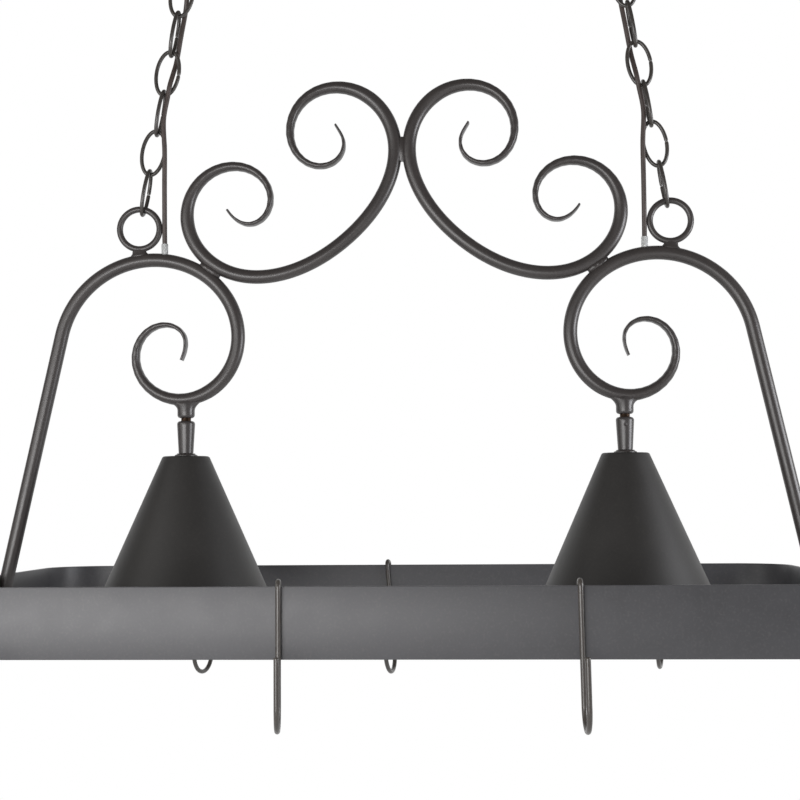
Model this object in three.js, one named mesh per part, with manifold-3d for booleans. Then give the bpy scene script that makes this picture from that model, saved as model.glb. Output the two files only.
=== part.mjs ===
// A hanging pot rack with two downlights. Two bent tube arches with tapering curls stand on a flat steel
// band, two C scrolls rise between them, and the whole hangs from two chains. Each chain carries the cord
// of the lamp under its curl. Millimetres, +Z up, +X along the rack, -Y towards the viewer.
// Everything is worked out from the band's top edge, and the model is then lowered so that the ceiling,
// which holds it up, is the plane z = 0.
import * as THREE from 'three';
import { mergeVertices } from 'three/addons/utils/BufferGeometryUtils.js';
import Module from 'manifold-3d';

const wasm = await Module();
wasm.setup();

// ---- driving dimensions, in millimetres and degrees -------------------------------------------------

const fitGap = 0.3; // clearance between two pieces that touch

// band
const bandLength = 830;
const bandDepth = 480;
const bandHeight = 62;
const bandThickness = 3;
const bandCornerRadius = 60;

// bent tube of the arches and scrolls
const tubeDiameter = 14;
const tipThickness = 2.4; // in the plane of the scroll, where the end is hammered out
const tipWidth = 14; // across the plane of the scroll

// arch
const archTopX = 253.9; // from the middle of the rack to the top of the arch
const archTopZ = 318.8; // from the band's top edge to the tube's centre
const shoulderRadius = 96.7;
const footBendRadius = 80; // where the straight arm turns upright behind the band
const footStraight = 34; // from the end of the tube up to that bend
const footInset = 8; // from the band's lower edge up to the end of the tube
const curlSideRadius = 60.7;
const curlBottomRadius = 39.4;
const curlInnerRadius = 26.9;
const curlTipRadius = 15.9;
const curlEndRadius = 58.8; // the last stretch is nearly straight
const curlTaper = 200; // length of the tapering end
// A bend is a list of angles turned, each with the radius there.
const curlBend = [[0, shoulderRadius], [133, curlSideRadius], [261, curlBottomRadius],
  [352, curlInnerRadius], [435, curlTipRadius], [475, curlEndRadius]];

// C scroll
const scrollWaistRadius = 72.5; // where the two scrolls touch
const scrollBackRadius = 195.7; // along the slanting back
const scrollSeatRadius = 79.3;
const lowerSideRadius = 53.4;
const lowerTopRadius = 46.7;
const lowerInnerRadius = 27.6;
const lowerTipRadius = 17.2;
const lowerEndRadius = 43.3;
const upperShoulderRadius = 59.2;
const upperTopRadius = 45.8;
const upperSideRadius = 43.2;
const upperBottomRadius = 27.3;
const upperInnerRadius = 20.6;
const upperTipRadius = 22;
const upperEndRadius = 238;
const lowerBend = [[0, scrollWaistRadius], [50, scrollBackRadius], [101, scrollSeatRadius],
  [181, lowerSideRadius], [251, lowerTopRadius], [380, lowerInnerRadius], [455, lowerTipRadius],
  [508, lowerEndRadius]];
const upperBend = [[0, scrollWaistRadius], [60, upperShoulderRadius], [124, upperTopRadius],
  [179, upperSideRadius], [260, upperBottomRadius], [340, upperInnerRadius], [385, upperTipRadius],
  [393, upperEndRadius]];
const lowerTaper = 205;
const upperTaper = 220;

// ring on the arch
const ringInnerDiameter = 34.5;
const ringWire = 6.35;
const ringOffset = 14.7; // outwards from the top of the arch
const ringWeld = 2.5; // weld between the tube and the ring
const weldHalfLength = 8.5;

// chain
const linkInnerLength = 42;
const linkWidth = 27;
const linkWire = 4;
const linkJointGap = 1; // between the two ends of the bent wire
const linksPerChain = 7;
const chainLean = 10; // from upright, both chains lean inwards

// ceiling fittings
const loopRingRadius = 13; // to the centre of the wire
const loopWire = 5;
const loopBossRadius = 8.5;
const loopBossHeight = 9;
const stemRadius = 6;
const stemBoreRadius = 3.6;
const collarRadius = 14;
const collarHeight = 7;
const canopyRadius = 63.5;
const canopyDepth = 27;
const canopyFlatRadius = 20;
const sheetThickness = 1.2;
const strapLength = 100;
const strapWidth = 18;
const strapThickness = 2.5;
const strapHoleSpacing = 70;
const strapHoleRadius = 2.5;

// lamp cord
const cordDiameter = 5;
const cordLift = 5.3; // of the cord's centre from the plane of a face-on link
const cordInset = 5.6; // of the cord's centre from the chain's line, towards the middle of the rack
const sleeveOffset = 11.2; // inwards from the top of the arch
const sleeveWall = 0.6;
const sleeveStandout = 10;
const wireHoleDepth = 8;

// lamp
const lampInset = 6.5; // of its axis from the curl's lowest point, towards the middle of the rack
const ferruleRadius = 8.7;
const ferruleFlare = 11.2;
const ferruleLength = 12; // below the curl
const ferruleBoreDepth = 8;
const neckRadius = 5;
const ballRadius = 6.4;
const ballDrop = 9; // from the ferrule's lower end to the ball's centre
const swivelTopRadius = 9;
const swivelBottomRadius = 7.4;
const swivelLength = 26.4; // from the ball's centre to the lower end
const wireBoreRadius = 2.2;
const stemThreadRadius = 4.8;
const stemThreadReach = 11; // of the lampholder's stem inside the swivel
const checkRingRadius = 11.4;
const checkRingHeight = 2.6;
const shadeTopRadius = 23.3;
const shadeRimRadius = 86.5;
const shadeHeight = 144;
const shadeEdgeRadius = 3;
const holderRadius = 17.5;
const holderLength = 54;
const socketRadius = 14;
const socketDepth = 38;
const bulbBaseRadius = 13.1;
const bulbGlobeRadius = 29;
const bulbLength = 96;

// hooks
const hookWire = 4.8;
const hookDrop = 121.5; // from the band's top edge to the lowest point
const hookBowlRadius = 20; // to the centre of the wire
const hookShortLeg = 24;
const hookTipDrop = 56; // from the band's top edge down to the tip
const hookPlay = 0.6; // between the wire and each face of the band
const hookFromCorner = 10; // of the first front hook from the band's round corner
// Each hook has its place along the band, its turn towards +X, and its lean to +X, both in degrees.
const frontHooks = [[bandCornerRadius + hookFromCorner - bandLength / 2, 0, 0], [-95, 5.5, 0], [161, 5.5, 1]];
const inwardHooks = [[-234, -19, 0], [-32, -11, 4.5]]; // on the back run, with their bowls to the viewer
const outwardHooks = [[272.5, -12, 0]]; // on the back run, with their bowls away from the viewer

// screws that fix the arches to the band
const screwShankRadius = 2.4;
const screwHeadRadius = 5;
const screwHeadHeight = 2.6;
const screwReach = 9; // into the tube
const screwSpacing = 28;

// ---- helpers ----------------------------------------------------------------------------------------

const rad = THREE.MathUtils.degToRad;
const tubeRadius = tubeDiameter / 2;

// The mesh with shared vertices, and its faces turned outwards if its volume comes out negative.
function closed(geometry) {
  const g = geometry.clone();
  for (const name of Object.keys(g.attributes)) {
    if (name !== 'position') g.deleteAttribute(name);
  }
  const merged = mergeVertices(g, 1e-4);
  const p = merged.attributes.position;
  const index = merged.index.array;
  const [a, b, c] = [new THREE.Vector3(), new THREE.Vector3(), new THREE.Vector3()];
  const kept = [];
  let volume = 0;
  for (let i = 0; i < index.length; i += 3) {
    const [u, v, w] = [index[i], index[i + 1], index[i + 2]];
    if (u === v || v === w || w === u) continue;
    kept.push(u, v, w);
    a.fromBufferAttribute(p, u);
    b.fromBufferAttribute(p, v);
    c.fromBufferAttribute(p, w);
    volume += a.dot(b.cross(c));
  }
  if (volume < 0) {
    for (let i = 0; i < kept.length; i += 3) {
      [kept[i + 1], kept[i + 2]] = [kept[i + 2], kept[i + 1]];
    }
  }
  merged.setIndex(kept);
  return merged;
}

function solid(geometry) {
  const g = closed(geometry);
  return new wasm.Manifold(new wasm.Mesh({
    numProp: 3,
    vertProperties: new Float32Array(g.attributes.position.array),
    triVerts: new Uint32Array(g.index.array),
  }));
}

function fromSolid(manifold) {
  const mesh = manifold.getMesh();
  const geometry = new THREE.BufferGeometry();
  geometry.setAttribute('position', new THREE.Float32BufferAttribute(mesh.vertProperties, 3));
  geometry.setIndex(new THREE.Uint32BufferAttribute(mesh.triVerts, 1));
  return geometry;
}

const cut = (geometry, ...tools) => (
  fromSolid(tools.reduce((body, tool) => body.subtract(solid(tool)), solid(geometry))));
const join = (geometry, ...others) => (
  fromSolid(others.reduce((body, other) => body.add(solid(other)), solid(geometry))));

// The same piece for the left side of the rack.
const mirrored = (geometry) => closed(geometry.clone().scale(-1, 1, 1));

// Stations along a bend in the XZ plane. side is 1 for a turn to the left and -1 to the right, and bends
// lists the radius at given angles turned; between two of them it changes by an equal factor per degree.
// Stations are spaced so that no chord is further than chordSag from its arc.
function bendFrom(start, side, bends, chordSag = bendSag) {
  const total = bends[bends.length - 1][0];
  const turn = total / Math.ceil(total / 2);
  const radiusAt = (angle) => {
    const next = bends.findIndex(([end]) => end >= angle);
    const [[a0, r0], [a1, r1]] = [bends[next - 1], bends[next]];
    return r0 * (r1 / r0) ** ((angle - a0) / (a1 - a0));
  };
  const share = (radius) => rad(turn) / (2 * Math.acos(1 - chordSag / radius));
  const middles = Array.from({ length: Math.round(total / turn) }, (_, i) => (i + 0.5) * turn);
  const chords = middles.reduce((sum, angle) => sum + share(radiusAt(angle)), 0);
  const steps = Math.ceil(chords);
  const stations = [];
  let { x, z, heading, s } = start;
  let done = 0;
  for (const angle of middles) {
    const radius = radiusAt(angle);
    const chord = 2 * radius * Math.sin(rad(turn) / 2);
    const direction = rad(heading + side * turn / 2);
    x += chord * Math.cos(direction);
    z += chord * Math.sin(direction);
    s += radius * rad(turn);
    heading += side * turn;
    done += share(radius) * steps / chords;
    if (done > stations.length + 1 - 1e-6) stations.push({ x, z, heading, s });
  }
  return stations;
}

// A round or oval bar along stations in the XZ plane. Each station may give its own half thickness in the
// plane and half width across it. Its ends are flat, or joined to each other if loop is true.
function bar(stations, radius, sides, loop = false) {
  const points = [];
  for (const { x, z, heading, half = radius, wide = radius } of stations) {
    const [nx, nz] = [-Math.sin(rad(heading)), Math.cos(rad(heading))];
    for (let j = 0; j < sides; j += 1) {
      const angle = 2 * Math.PI * j / sides;
      const inPlane = half * Math.cos(angle);
      points.push(x + nx * inPlane, wide * Math.sin(angle), z + nz * inPlane);
    }
  }
  const index = [];
  const rings = stations.length;
  for (let i = 0; i < (loop ? rings : rings - 1); i += 1) {
    for (let j = 0; j < sides; j += 1) {
      const [a, b] = [i * sides + j, i * sides + (j + 1) % sides];
      const [c, d] = [((i + 1) % rings) * sides + j, ((i + 1) % rings) * sides + (j + 1) % sides];
      index.push(a, b, c, b, d, c);
    }
  }
  if (!loop) {
    const last = (rings - 1) * sides;
    for (let j = 1; j < sides - 1; j += 1) {
      index.push(0, j + 1, j, last, last + j, last + j + 1);
    }
  }
  const geometry = new THREE.BufferGeometry();
  geometry.setAttribute('position', new THREE.Float32BufferAttribute(points, 3));
  geometry.setIndex(index);
  return closed(geometry);
}

// A turned piece: the profile's points are [radius, height], and the axis is upright.
function turned(profile, segments) {
  const points = profile.map(([r, z]) => new THREE.Vector2(r, z));
  return closed(new THREE.LatheGeometry(points, segments).rotateX(Math.PI / 2));
}

// Points of an arc in a profile, about [r, z], from one angle to the other, both ends included.
function profileArc(r, z, radius, from, to, steps) {
  return Array.from({ length: steps + 1 }, (_, i) => {
    const angle = rad(from + (to - from) * i / steps);
    return [r + radius * Math.cos(angle), z + radius * Math.sin(angle)];
  });
}

const cylinder = (radius, low, high, segments) => (
  turned([[0, low], [radius, low], [radius, high], [0, high]], segments));

// The half thickness and half width of a tube whose last stretch is hammered out to its tip.
function tapered(stations, taper) {
  const end = stations[stations.length - 1].s;
  return stations.map((station) => {
    const full = Math.min(1, (end - station.s) / taper);
    return {
      ...station,
      half: THREE.MathUtils.lerp(tipThickness / 2, tubeRadius, full),
      wide: THREE.MathUtils.lerp(tipWidth / 2, tubeRadius, full),
    };
  });
}

const grown = (stations, by) => stations.map((st) => ({ ...st, half: st.half + by, wide: st.wide + by }));

const tubeSides = 8;
const bendSag = 0.6; // of a chord from the arc it stands for

// ---- materials --------------------------------------------------------------------------------------

// Each mesh gets a material of its own, so a finish is a function that makes one.
const finish = (color, roughness, metalness) => () => (
  new THREE.MeshStandardMaterial({ color, roughness, metalness }));
const darkPaint = finish(0x57534f, 0.5, 0.3);
const shadePaint = finish(0x3a3836, 0.55, 0.3);
const bandPaint = finish(0x5d5d5f, 0.5, 0.3);
const chainFinish = finish(0x4d4946, 0.45, 0.3);
const brass = finish(0x8a6a3c, 0.35, 1);
const blackPlastic = finish(0x1d1c1b, 0.6, 0);
const cordPlastic = finish(0x2e2a28, 0.55, 0);
const clearPlastic = finish(0xd9dcd8, 0.3, 0);
const frostedGlass = finish(0xf2efe6, 0.4, 0);
const zincSteel = finish(0x9a9c9e, 0.4, 1);

// ---- arch and curl ----------------------------------------------------------------------------------

const bandInnerX = bandLength / 2 - bandThickness;
const footX = bandInnerX - fitGap - tubeRadius;

// The arch runs up from its foot, leans inwards, turns over the shoulder and runs round into the curl. Its
// straight arm touches both the bend at the foot and the shoulder, which sets how far it leans.
function archStations() {
  const footBendZ = footInset + footStraight - bandHeight;
  const [footCentreX, shoulderCentreZ] = [footX - footBendRadius, archTopZ - shoulderRadius];
  const [dx, dz] = [archTopX - footCentreX, shoulderCentreZ - footBendZ];
  const between = Math.asin((shoulderRadius - footBendRadius) / Math.hypot(dx, dz));
  const armHeading = THREE.MathUtils.radToDeg(Math.atan2(dz, dx) - between);
  const armLean = armHeading - 90;
  const foot = { x: footX, z: footInset - bandHeight, heading: 90, s: 0 };
  const bendStart = { x: footX, z: footBendZ, heading: 90, s: footStraight };
  const footBend = bendFrom(bendStart, 1, [[0, footBendRadius], [armLean, footBendRadius]]);
  const armFoot = footBend[footBend.length - 1];
  const shoulderX = archTopX + shoulderRadius * Math.cos(rad(armLean));
  const shoulderZ = shoulderCentreZ + shoulderRadius * Math.sin(rad(armLean));
  const armLength = Math.hypot(shoulderX - armFoot.x, shoulderZ - armFoot.z);
  const armTop = { x: shoulderX, z: shoulderZ, heading: armHeading, s: armFoot.s + armLength };
  const shoulder = bendFrom(armTop, 1, [[0, shoulderRadius], [90 - armLean, shoulderRadius]]);
  const curl = bendFrom(shoulder[shoulder.length - 1], 1, curlBend);
  return [foot, bendStart, ...footBend, armTop, ...shoulder, ...curl];
}

const archPath = archStations();
const archTube = tapered(archPath, curlTaper);

// The lamp hangs close to the lowest point of the curl's first turn.
const archTop = { x: archTopX, z: archTopZ, heading: 180, s: 0 };
const curlBottom = bendFrom(archTop, 1, curlBend, 0.01).find((st) => st.heading >= 360);
const lampX = curlBottom.x - lampInset;
const curlUnderside = curlBottom.z - tubeRadius;

// Height of the tube's centre near the top of the arch.
const archCentreZ = (x) => archTopZ - shoulderRadius + Math.sqrt(shoulderRadius ** 2 - (x - archTopX) ** 2);

const sleeveX = archTopX - sleeveOffset;
const sleeveRadius = cordDiameter / 2 + fitGap + sleeveWall;
const archSurfaceAtSleeve = archCentreZ(sleeveX) + tubeRadius;
const wireHoleBottom = archSurfaceAtSleeve - wireHoleDepth;
const screwHeights = [-1, 1].map((side) => side * screwSpacing / 2 - bandHeight / 2);

// A cylinder along +X from one x to another, for the screws' holes.
function crossHole(radius, fromX, toX, z) {
  return cylinder(radius, fromX, toX, 8).rotateY(Math.PI / 2).translate(0, 0, z);
}

function archGeometry() {
  const wireHole = cylinder(sleeveRadius + fitGap, wireHoleBottom, archSurfaceAtSleeve + tubeRadius, 10);
  wireHole.translate(sleeveX, 0, 0);
  const screwHole = screwShankRadius + fitGap;
  const tapped = screwHeights.map((z) => crossHole(screwHole, bandInnerX - screwReach, bandInnerX, z));
  return cut(bar(archTube, tubeRadius, tubeSides), wireHole, ...tapped);
}

// ---- C scroll ---------------------------------------------------------------------------------------

const waistX = tubeRadius + fitGap / 2;

// The scroll is bent both ways from its waist, where the two scrolls touch. Both bends keep the same side
// inwards, so that the bar is one C with a tighter curl at each end.
function scrollStations(waistZ) {
  const down = bendFrom({ x: waistX, z: waistZ, heading: -90, s: 0 }, 1, lowerBend);
  const up = bendFrom({ x: waistX, z: waistZ, heading: 90, s: 0 }, -1, upperBend);
  const waist = { x: waistX, z: waistZ, heading: -90, s: 0 };
  const lower = tapered([waist, ...down], lowerTaper);
  const upper = tapered(up, upperTaper).reverse().map((st) => ({ ...st, heading: st.heading + 180 }));
  return [...upper, ...lower];
}

// The least distance between the chords of two runs of stations.
function leastDistance(one, other) {
  let least = Infinity;
  for (const { x, z } of one) {
    for (let i = 1; i < other.length; i += 1) {
      const [p, q] = [other[i - 1], other[i]];
      const [dx, dz] = [q.x - p.x, q.z - p.z];
      const t = THREE.MathUtils.clamp(((x - p.x) * dx + (z - p.z) * dz) / (dx * dx + dz * dz), 0, 1);
      least = Math.min(least, Math.hypot(x - p.x - t * dx, z - p.z - t * dz));
    }
  }
  return least;
}

// The scroll is lowered until it rests on the arch.
function seatedWaist() {
  const arch = archPath;
  const clearance = (waistZ) => {
    const scroll = scrollStations(waistZ);
    return Math.min(leastDistance(scroll, arch), leastDistance(arch, scroll)) - tubeDiameter - fitGap;
  };
  let [low, high] = [archTopZ, archTopZ + 3 * shoulderRadius];
  for (let i = 0; i < 40; i += 1) {
    const middle = (low + high) / 2;
    if (clearance(middle) > 0) high = middle;
    else low = middle;
  }
  return high;
}

const waistZ = seatedWaist();
const scrollTube = scrollStations(waistZ);

// ---- ring -------------------------------------------------------------------------------------------

const ringX = archTopX + ringOffset;
const ringRadius = (ringInnerDiameter + ringWire) / 2;
const ringZ = archCentreZ(ringX) + tubeRadius + ringWeld + ringRadius + ringWire / 2;

// Stations of a closed circle in the XZ plane, with one of them where the chain's line crosses it.
function circleStations(x, z, radius, steps) {
  return Array.from({ length: steps }, (_, i) => {
    const angle = chainLean + 360 * i / steps;
    const [dx, dz] = [radius * Math.cos(rad(angle)), radius * Math.sin(rad(angle))];
    return { x: x + dx, z: z + dz, heading: angle + 90 };
  });
}

function ringGeometry() {
  const ring = bar(circleStations(ringX, ringZ, ringRadius, 20), ringWire / 2, 8, true);
  const weld = new THREE.SphereGeometry(1, 10, 6);
  weld.scale(weldHalfLength, tubeRadius, ringWeld + ringWire / 2);
  weld.translate(ringX, 0, archCentreZ(ringX) + tubeRadius + ringWeld / 2);
  return cut(join(ring, weld), bar(grown(archTube, fitGap), tubeRadius, tubeSides));
}

// ---- chain ------------------------------------------------------------------------------------------

const linkReach = (linkInnerLength + linkWire) / 2; // from the link's middle to the wire at its end
const linkPitch = linkInnerLength - fitGap;

// One link: round wire bent to an oval, its two ends meeting half-way up one side.
function linkGeometry() {
  const steps = 16;
  const halfWidth = (linkWidth - linkWire) / 2;
  const gapAngle = Math.asin(linkJointGap / 2 / linkReach);
  const stations = Array.from({ length: steps + 1 }, (_, i) => {
    const angle = gapAngle + (2 * Math.PI - 2 * gapAngle) * i / steps;
    const [dx, dz] = [-halfWidth * Math.sin(angle), linkReach * Math.cos(angle)];
    const heading = THREE.MathUtils.radToDeg(Math.atan2(dz, dx));
    return { x: halfWidth * Math.cos(angle), z: linkReach * Math.sin(angle), heading };
  });
  return bar(stations, linkWire / 2, 6);
}

// Distances along the chain's line, from the centre of the ring.
const firstLinkAt = ringRadius - ringWire / 2 - linkWire / 2 - fitGap + linkReach;
const linkAt = (fromRing) => firstLinkAt + fromRing * linkPitch;
const topContactAt = linkAt(linksPerChain - 1) + linkReach - linkWire / 2 - fitGap - loopWire / 2;
const loopRingAt = topContactAt + loopRingRadius;

// A point on the right-hand chain: along its line, inwards from it, and in depth.
function chainPoint(along, inwards, y) {
  const [sin, cos] = [Math.sin(rad(chainLean)), Math.cos(rad(chainLean))];
  return new THREE.Vector3(ringX - along * sin - inwards * cos, y, ringZ + along * cos - inwards * sin);
}

// ---- ceiling fittings -------------------------------------------------------------------------------

const loopRing = chainPoint(loopRingAt, 0, 0);
const fittingX = loopRing.x;
const loopZ = loopRing.z;
const bossZ = loopZ + loopRingRadius - loopWire / 2;
const collarZ = bossZ + loopBossHeight + fitGap;
const canopyZ = collarZ + collarHeight + fitGap;
const ceilingZ = canopyZ + canopyDepth;
const strapZ = ceilingZ - strapThickness;

function loopGeometry() {
  const ring = bar(circleStations(0, loopZ, loopRingRadius, 20), loopWire / 2, 6, true);
  const boss = cylinder(loopBossRadius, bossZ, bossZ + loopBossHeight, 12);
  const stem = cylinder(stemRadius, bossZ + loopBossHeight / 2, ceilingZ - fitGap, 12);
  const bore = cylinder(stemBoreRadius, loopZ, ceilingZ + 1, 8);
  return cut(join(ring, boss, stem), bore);
}

function collarGeometry() {
  const bore = stemRadius + fitGap;
  const [low, high, chamfer] = [collarZ, collarZ + collarHeight, 1];
  return turned([[bore, low], [collarRadius - chamfer, low], [collarRadius, low + chamfer],
    [collarRadius, high - chamfer], [collarRadius - chamfer, high], [bore, high], [bore, low]], 16);
}

// A dome of sheet steel: a small flat below, a swept side, and an upright rim at the ceiling.
function canopyGeometry() {
  const rimHeight = 4;
  const rise = canopyDepth - rimHeight;
  const side = (inset, steps) => Array.from({ length: steps + 1 }, (_, i) => {
    const angle = rad(90 * i / steps);
    return [canopyFlatRadius + (canopyRadius - inset - canopyFlatRadius) * Math.sin(angle),
      canopyZ + inset + (rise - inset) * (1 - Math.cos(angle))];
  });
  const bore = stemRadius + fitGap;
  const inner = side(sheetThickness, 4).reverse();
  return turned([[bore, canopyZ], ...side(0, 4), [canopyRadius, ceilingZ],
    [canopyRadius - sheetThickness, ceilingZ], ...inner, [bore, canopyZ + sheetThickness],
    [bore, canopyZ]], 20);
}

function strapGeometry() {
  const plate = new THREE.Shape();
  const [hx, hy] = [strapLength / 2 - strapWidth / 2, strapWidth / 2];
  plate.absarc(hx, 0, hy, -Math.PI / 2, Math.PI / 2);
  plate.absarc(-hx, 0, hy, Math.PI / 2, 3 * Math.PI / 2);
  for (const [x, r] of [[0, stemRadius + 2 * fitGap], [-strapHoleSpacing / 2, strapHoleRadius],
    [strapHoleSpacing / 2, strapHoleRadius]]) {
    plate.holes.push(new THREE.Path().absarc(x, 0, r, 0, 2 * Math.PI, true));
  }
  const options = { depth: strapThickness, bevelEnabled: false, curveSegments: 6 };
  return closed(new THREE.ExtrudeGeometry(plate, options).translate(0, 0, strapZ));
}

// ---- lamp cord and sleeve ---------------------------------------------------------------------------

function sleeveGeometry() {
  const [low, high] = [wireHoleBottom + fitGap, archSurfaceAtSleeve + sleeveStandout];
  const bore = sleeveRadius - sleeveWall;
  return turned([[bore, low], [sleeveRadius, low], [sleeveRadius, high], [bore, high], [bore, low]], 12);
}

// The cord rises from the sleeve, passes in front of the second link, and then weaves up the chain on the
// side of the rack's middle: through the fourth link to the back, and through the sixth to the front. It
// enters the loop from the front and runs up the hollow stem into the canopy.
function cordPath() {
  const up = (z) => new THREE.Vector3(sleeveX, 0, z);
  const at = (link, along, y) => chainPoint(linkAt(link) + along, cordInset, y);
  const cross = 13;
  const front = new THREE.Vector3(sleeveX - 0.6, -cordLift, chainPoint(linkAt(1), 0, 0).z);
  const inLoop = (x, y, z) => new THREE.Vector3(fittingX - x, y, loopZ + z);
  const top = ceilingZ - strapThickness - fitGap;
  return new THREE.CatmullRomCurve3([
    up(wireHoleBottom + 1),
    up(archSurfaceAtSleeve + sleeveStandout),
    new THREE.Vector3(sleeveX, -0.7, archSurfaceAtSleeve + 2.2 * sleeveStandout),
    front.clone().lerp(up(archSurfaceAtSleeve + 2.2 * sleeveStandout), 0.45).setY(-cordLift * 0.75),
    front,
    at(2, -cross / 2, -cordLift),
    at(2, 1.3 * cross, -cordLift),
    at(3, -cross, -cordLift),
    at(3, 0, 0),
    at(3, cross, cordLift),
    at(4, 0, cordLift),
    at(5, -cross, cordLift),
    at(5, 0, 0),
    at(5, cross, -cordLift),
    at(6, 0, -cordLift),
    at(6, 1.25 * cross, -cordLift),
    inLoop(3.6, -3.4, -0.5),
    inLoop(0.4, -0.4, 7.5),
    inLoop(0, 0, 13),
    inLoop(0, 0, (13 + top - loopZ) / 2),
    inLoop(0, 0, top - loopZ),
  ], false, 'centripetal');
}

function cordGeometry() {
  const section = new THREE.Shape();
  const sides = 6;
  for (let j = 0; j < sides; j += 1) {
    const angle = 2 * Math.PI * (j + 0.5) / sides;
    section[j ? 'lineTo' : 'moveTo'](cordDiameter / 2 * Math.cos(angle), cordDiameter / 2 * Math.sin(angle));
  }
  const options = { steps: 42, bevelEnabled: false, extrudePath: cordPath() };
  return closed(new THREE.ExtrudeGeometry(section, options));
}

// ---- lamp -------------------------------------------------------------------------------------------

const lampSegments = 12;
const ferruleBottom = curlUnderside - ferruleLength;
const ballZ = ferruleBottom - ballDrop;
const swivelBottom = ballZ - swivelLength;
const threadBore = stemThreadRadius + fitGap;
const checkRingZ = swivelBottom - fitGap - checkRingHeight;
const shadeTop = checkRingZ - fitGap;
const shadeRim = shadeTop - shadeHeight;
const holderTop = shadeTop - sheetThickness - fitGap;
const holderBottom = holderTop - holderLength;
const socketTop = holderBottom + socketDepth;

// The ferrule flares where it is welded under the curl, and is cut to the tube's shape there.
function ferruleGeometry() {
  const bore = stemThreadRadius + fitGap;
  const roundTo = ferruleRadius - 1.8;
  const body = turned([[0, ferruleBottom + ferruleBoreDepth], [bore, ferruleBottom + ferruleBoreDepth],
    [bore, ferruleBottom], [roundTo, ferruleBottom], [ferruleRadius - 0.5, ferruleBottom + 0.8],
    [ferruleRadius, ferruleBottom + 2.4], [ferruleRadius, curlUnderside - 4],
    [ferruleRadius + 0.6, curlUnderside - 1.6], [ferruleFlare - 0.6, curlUnderside + 1],
    [ferruleFlare, curlUnderside + 3], [0, curlUnderside + 3]], lampSegments).translate(lampX, 0, 0);
  return cut(body, bar(grown(archTube, fitGap), tubeRadius, tubeSides));
}

// A threaded spigot in the ferrule, a bare neck, and a ball that the swivel turns on.
function ballNippleGeometry() {
  const neckEnd = Math.sqrt(ballRadius ** 2 - neckRadius ** 2);
  const neckAngle = THREE.MathUtils.radToDeg(Math.atan2(neckEnd, neckRadius));
  const boreAngle = THREE.MathUtils.radToDeg(Math.acos(wireBoreRadius / ballRadius));
  const top = ferruleBottom + ferruleBoreDepth - fitGap;
  return turned([[wireBoreRadius, top], [stemThreadRadius, top], [stemThreadRadius, ferruleBottom],
    [neckRadius, ferruleBottom - 0.4], ...profileArc(0, ballZ, ballRadius, neckAngle, -boreAngle, 5),
    [wireBoreRadius, top]], lampSegments);
}

// The swivel barrel: a socket round the ball with a flared mouth, and a threaded bore below.
function swivelGeometry() {
  const socket = ballRadius + 0.4;
  const lip = 3.2;
  const mouth = 6;
  const lipAngle = THREE.MathUtils.radToDeg(Math.asin(lip / socket));
  const wireBore = wireBoreRadius + 0.4;
  const boreAngle = THREE.MathUtils.radToDeg(Math.acos(wireBore / socket));
  const threadTop = swivelBottom + stemThreadReach + fitGap;
  return turned([[ballRadius + 0.6, ballZ + mouth], ...profileArc(0, ballZ, socket, lipAngle, -boreAngle, 5),
    [wireBore, threadTop], [threadBore, threadTop], [threadBore, swivelBottom],
    [swivelBottomRadius, swivelBottom], [swivelTopRadius, ballZ + 2], [swivelTopRadius - 0.5, ballZ + 4.6],
    [swivelTopRadius - 1.2, ballZ + mouth], [ballRadius + 0.6, ballZ + mouth]], lampSegments);
}

function checkRingGeometry() {
  const [low, high] = [checkRingZ, checkRingZ + checkRingHeight];
  return turned([[threadBore, low], [checkRingRadius, low], [checkRingRadius, low + 1],
    [checkRingRadius - 2.4, high], [threadBore, high], [threadBore, low]], lampSegments);
}

// The shade is spun from sheet: a flat top with a rounded edge, and a straight cone.
function shadeGeometry() {
  const slope = Math.atan2(shadeRimRadius - shadeTopRadius, shadeHeight);
  const wallX = sheetThickness / Math.cos(slope);
  const turn = 90 - THREE.MathUtils.radToDeg(slope);
  const edgeR = shadeTopRadius - shadeEdgeRadius * Math.tan(rad(turn) / 2);
  const edge = (radius) => profileArc(edgeR, shadeTop - shadeEdgeRadius, radius, 90, 90 - turn, 2);
  return turned([[threadBore, shadeTop], ...edge(shadeEdgeRadius), [shadeRimRadius, shadeRim],
    [shadeRimRadius - wallX, shadeRim], ...edge(shadeEdgeRadius - sheetThickness).reverse(),
    [threadBore, shadeTop - sheetThickness], [threadBore, shadeTop]], 24);
}

// The lampholder's stem passes through the shade and the check ring into the swivel and clamps them.
function holderGeometry() {
  const stemTop = swivelBottom + stemThreadReach;
  const skirt = holderRadius + 1.5;
  return turned([[wireBoreRadius, stemTop], [stemThreadRadius, stemTop], [stemThreadRadius, holderTop],
    [holderRadius - 6, holderTop], [holderRadius, holderTop - 5], [holderRadius, holderBottom + 13],
    [skirt, holderBottom + 11], [skirt, holderBottom + 2], [holderRadius, holderBottom],
    [socketRadius, holderBottom], [socketRadius, socketTop], [wireBoreRadius, socketTop],
    [wireBoreRadius, stemTop]], lampSegments);
}

function bulbGeometry() {
  const baseTop = socketTop - 1;
  const globeZ = baseTop - bulbLength + bulbGlobeRadius;
  const baseEnd = holderBottom - 2;
  const contactRadius = 4.5;
  return turned([[0, baseTop], [contactRadius, baseTop], [bulbBaseRadius - 1, baseTop - 4],
    [bulbBaseRadius, baseTop - 6], [bulbBaseRadius, baseEnd],
    ...profileArc(0, globeZ, bulbGlobeRadius, 50, -90, 7)], lampSegments);
}

// ---- hooks ------------------------------------------------------------------------------------------

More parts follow.
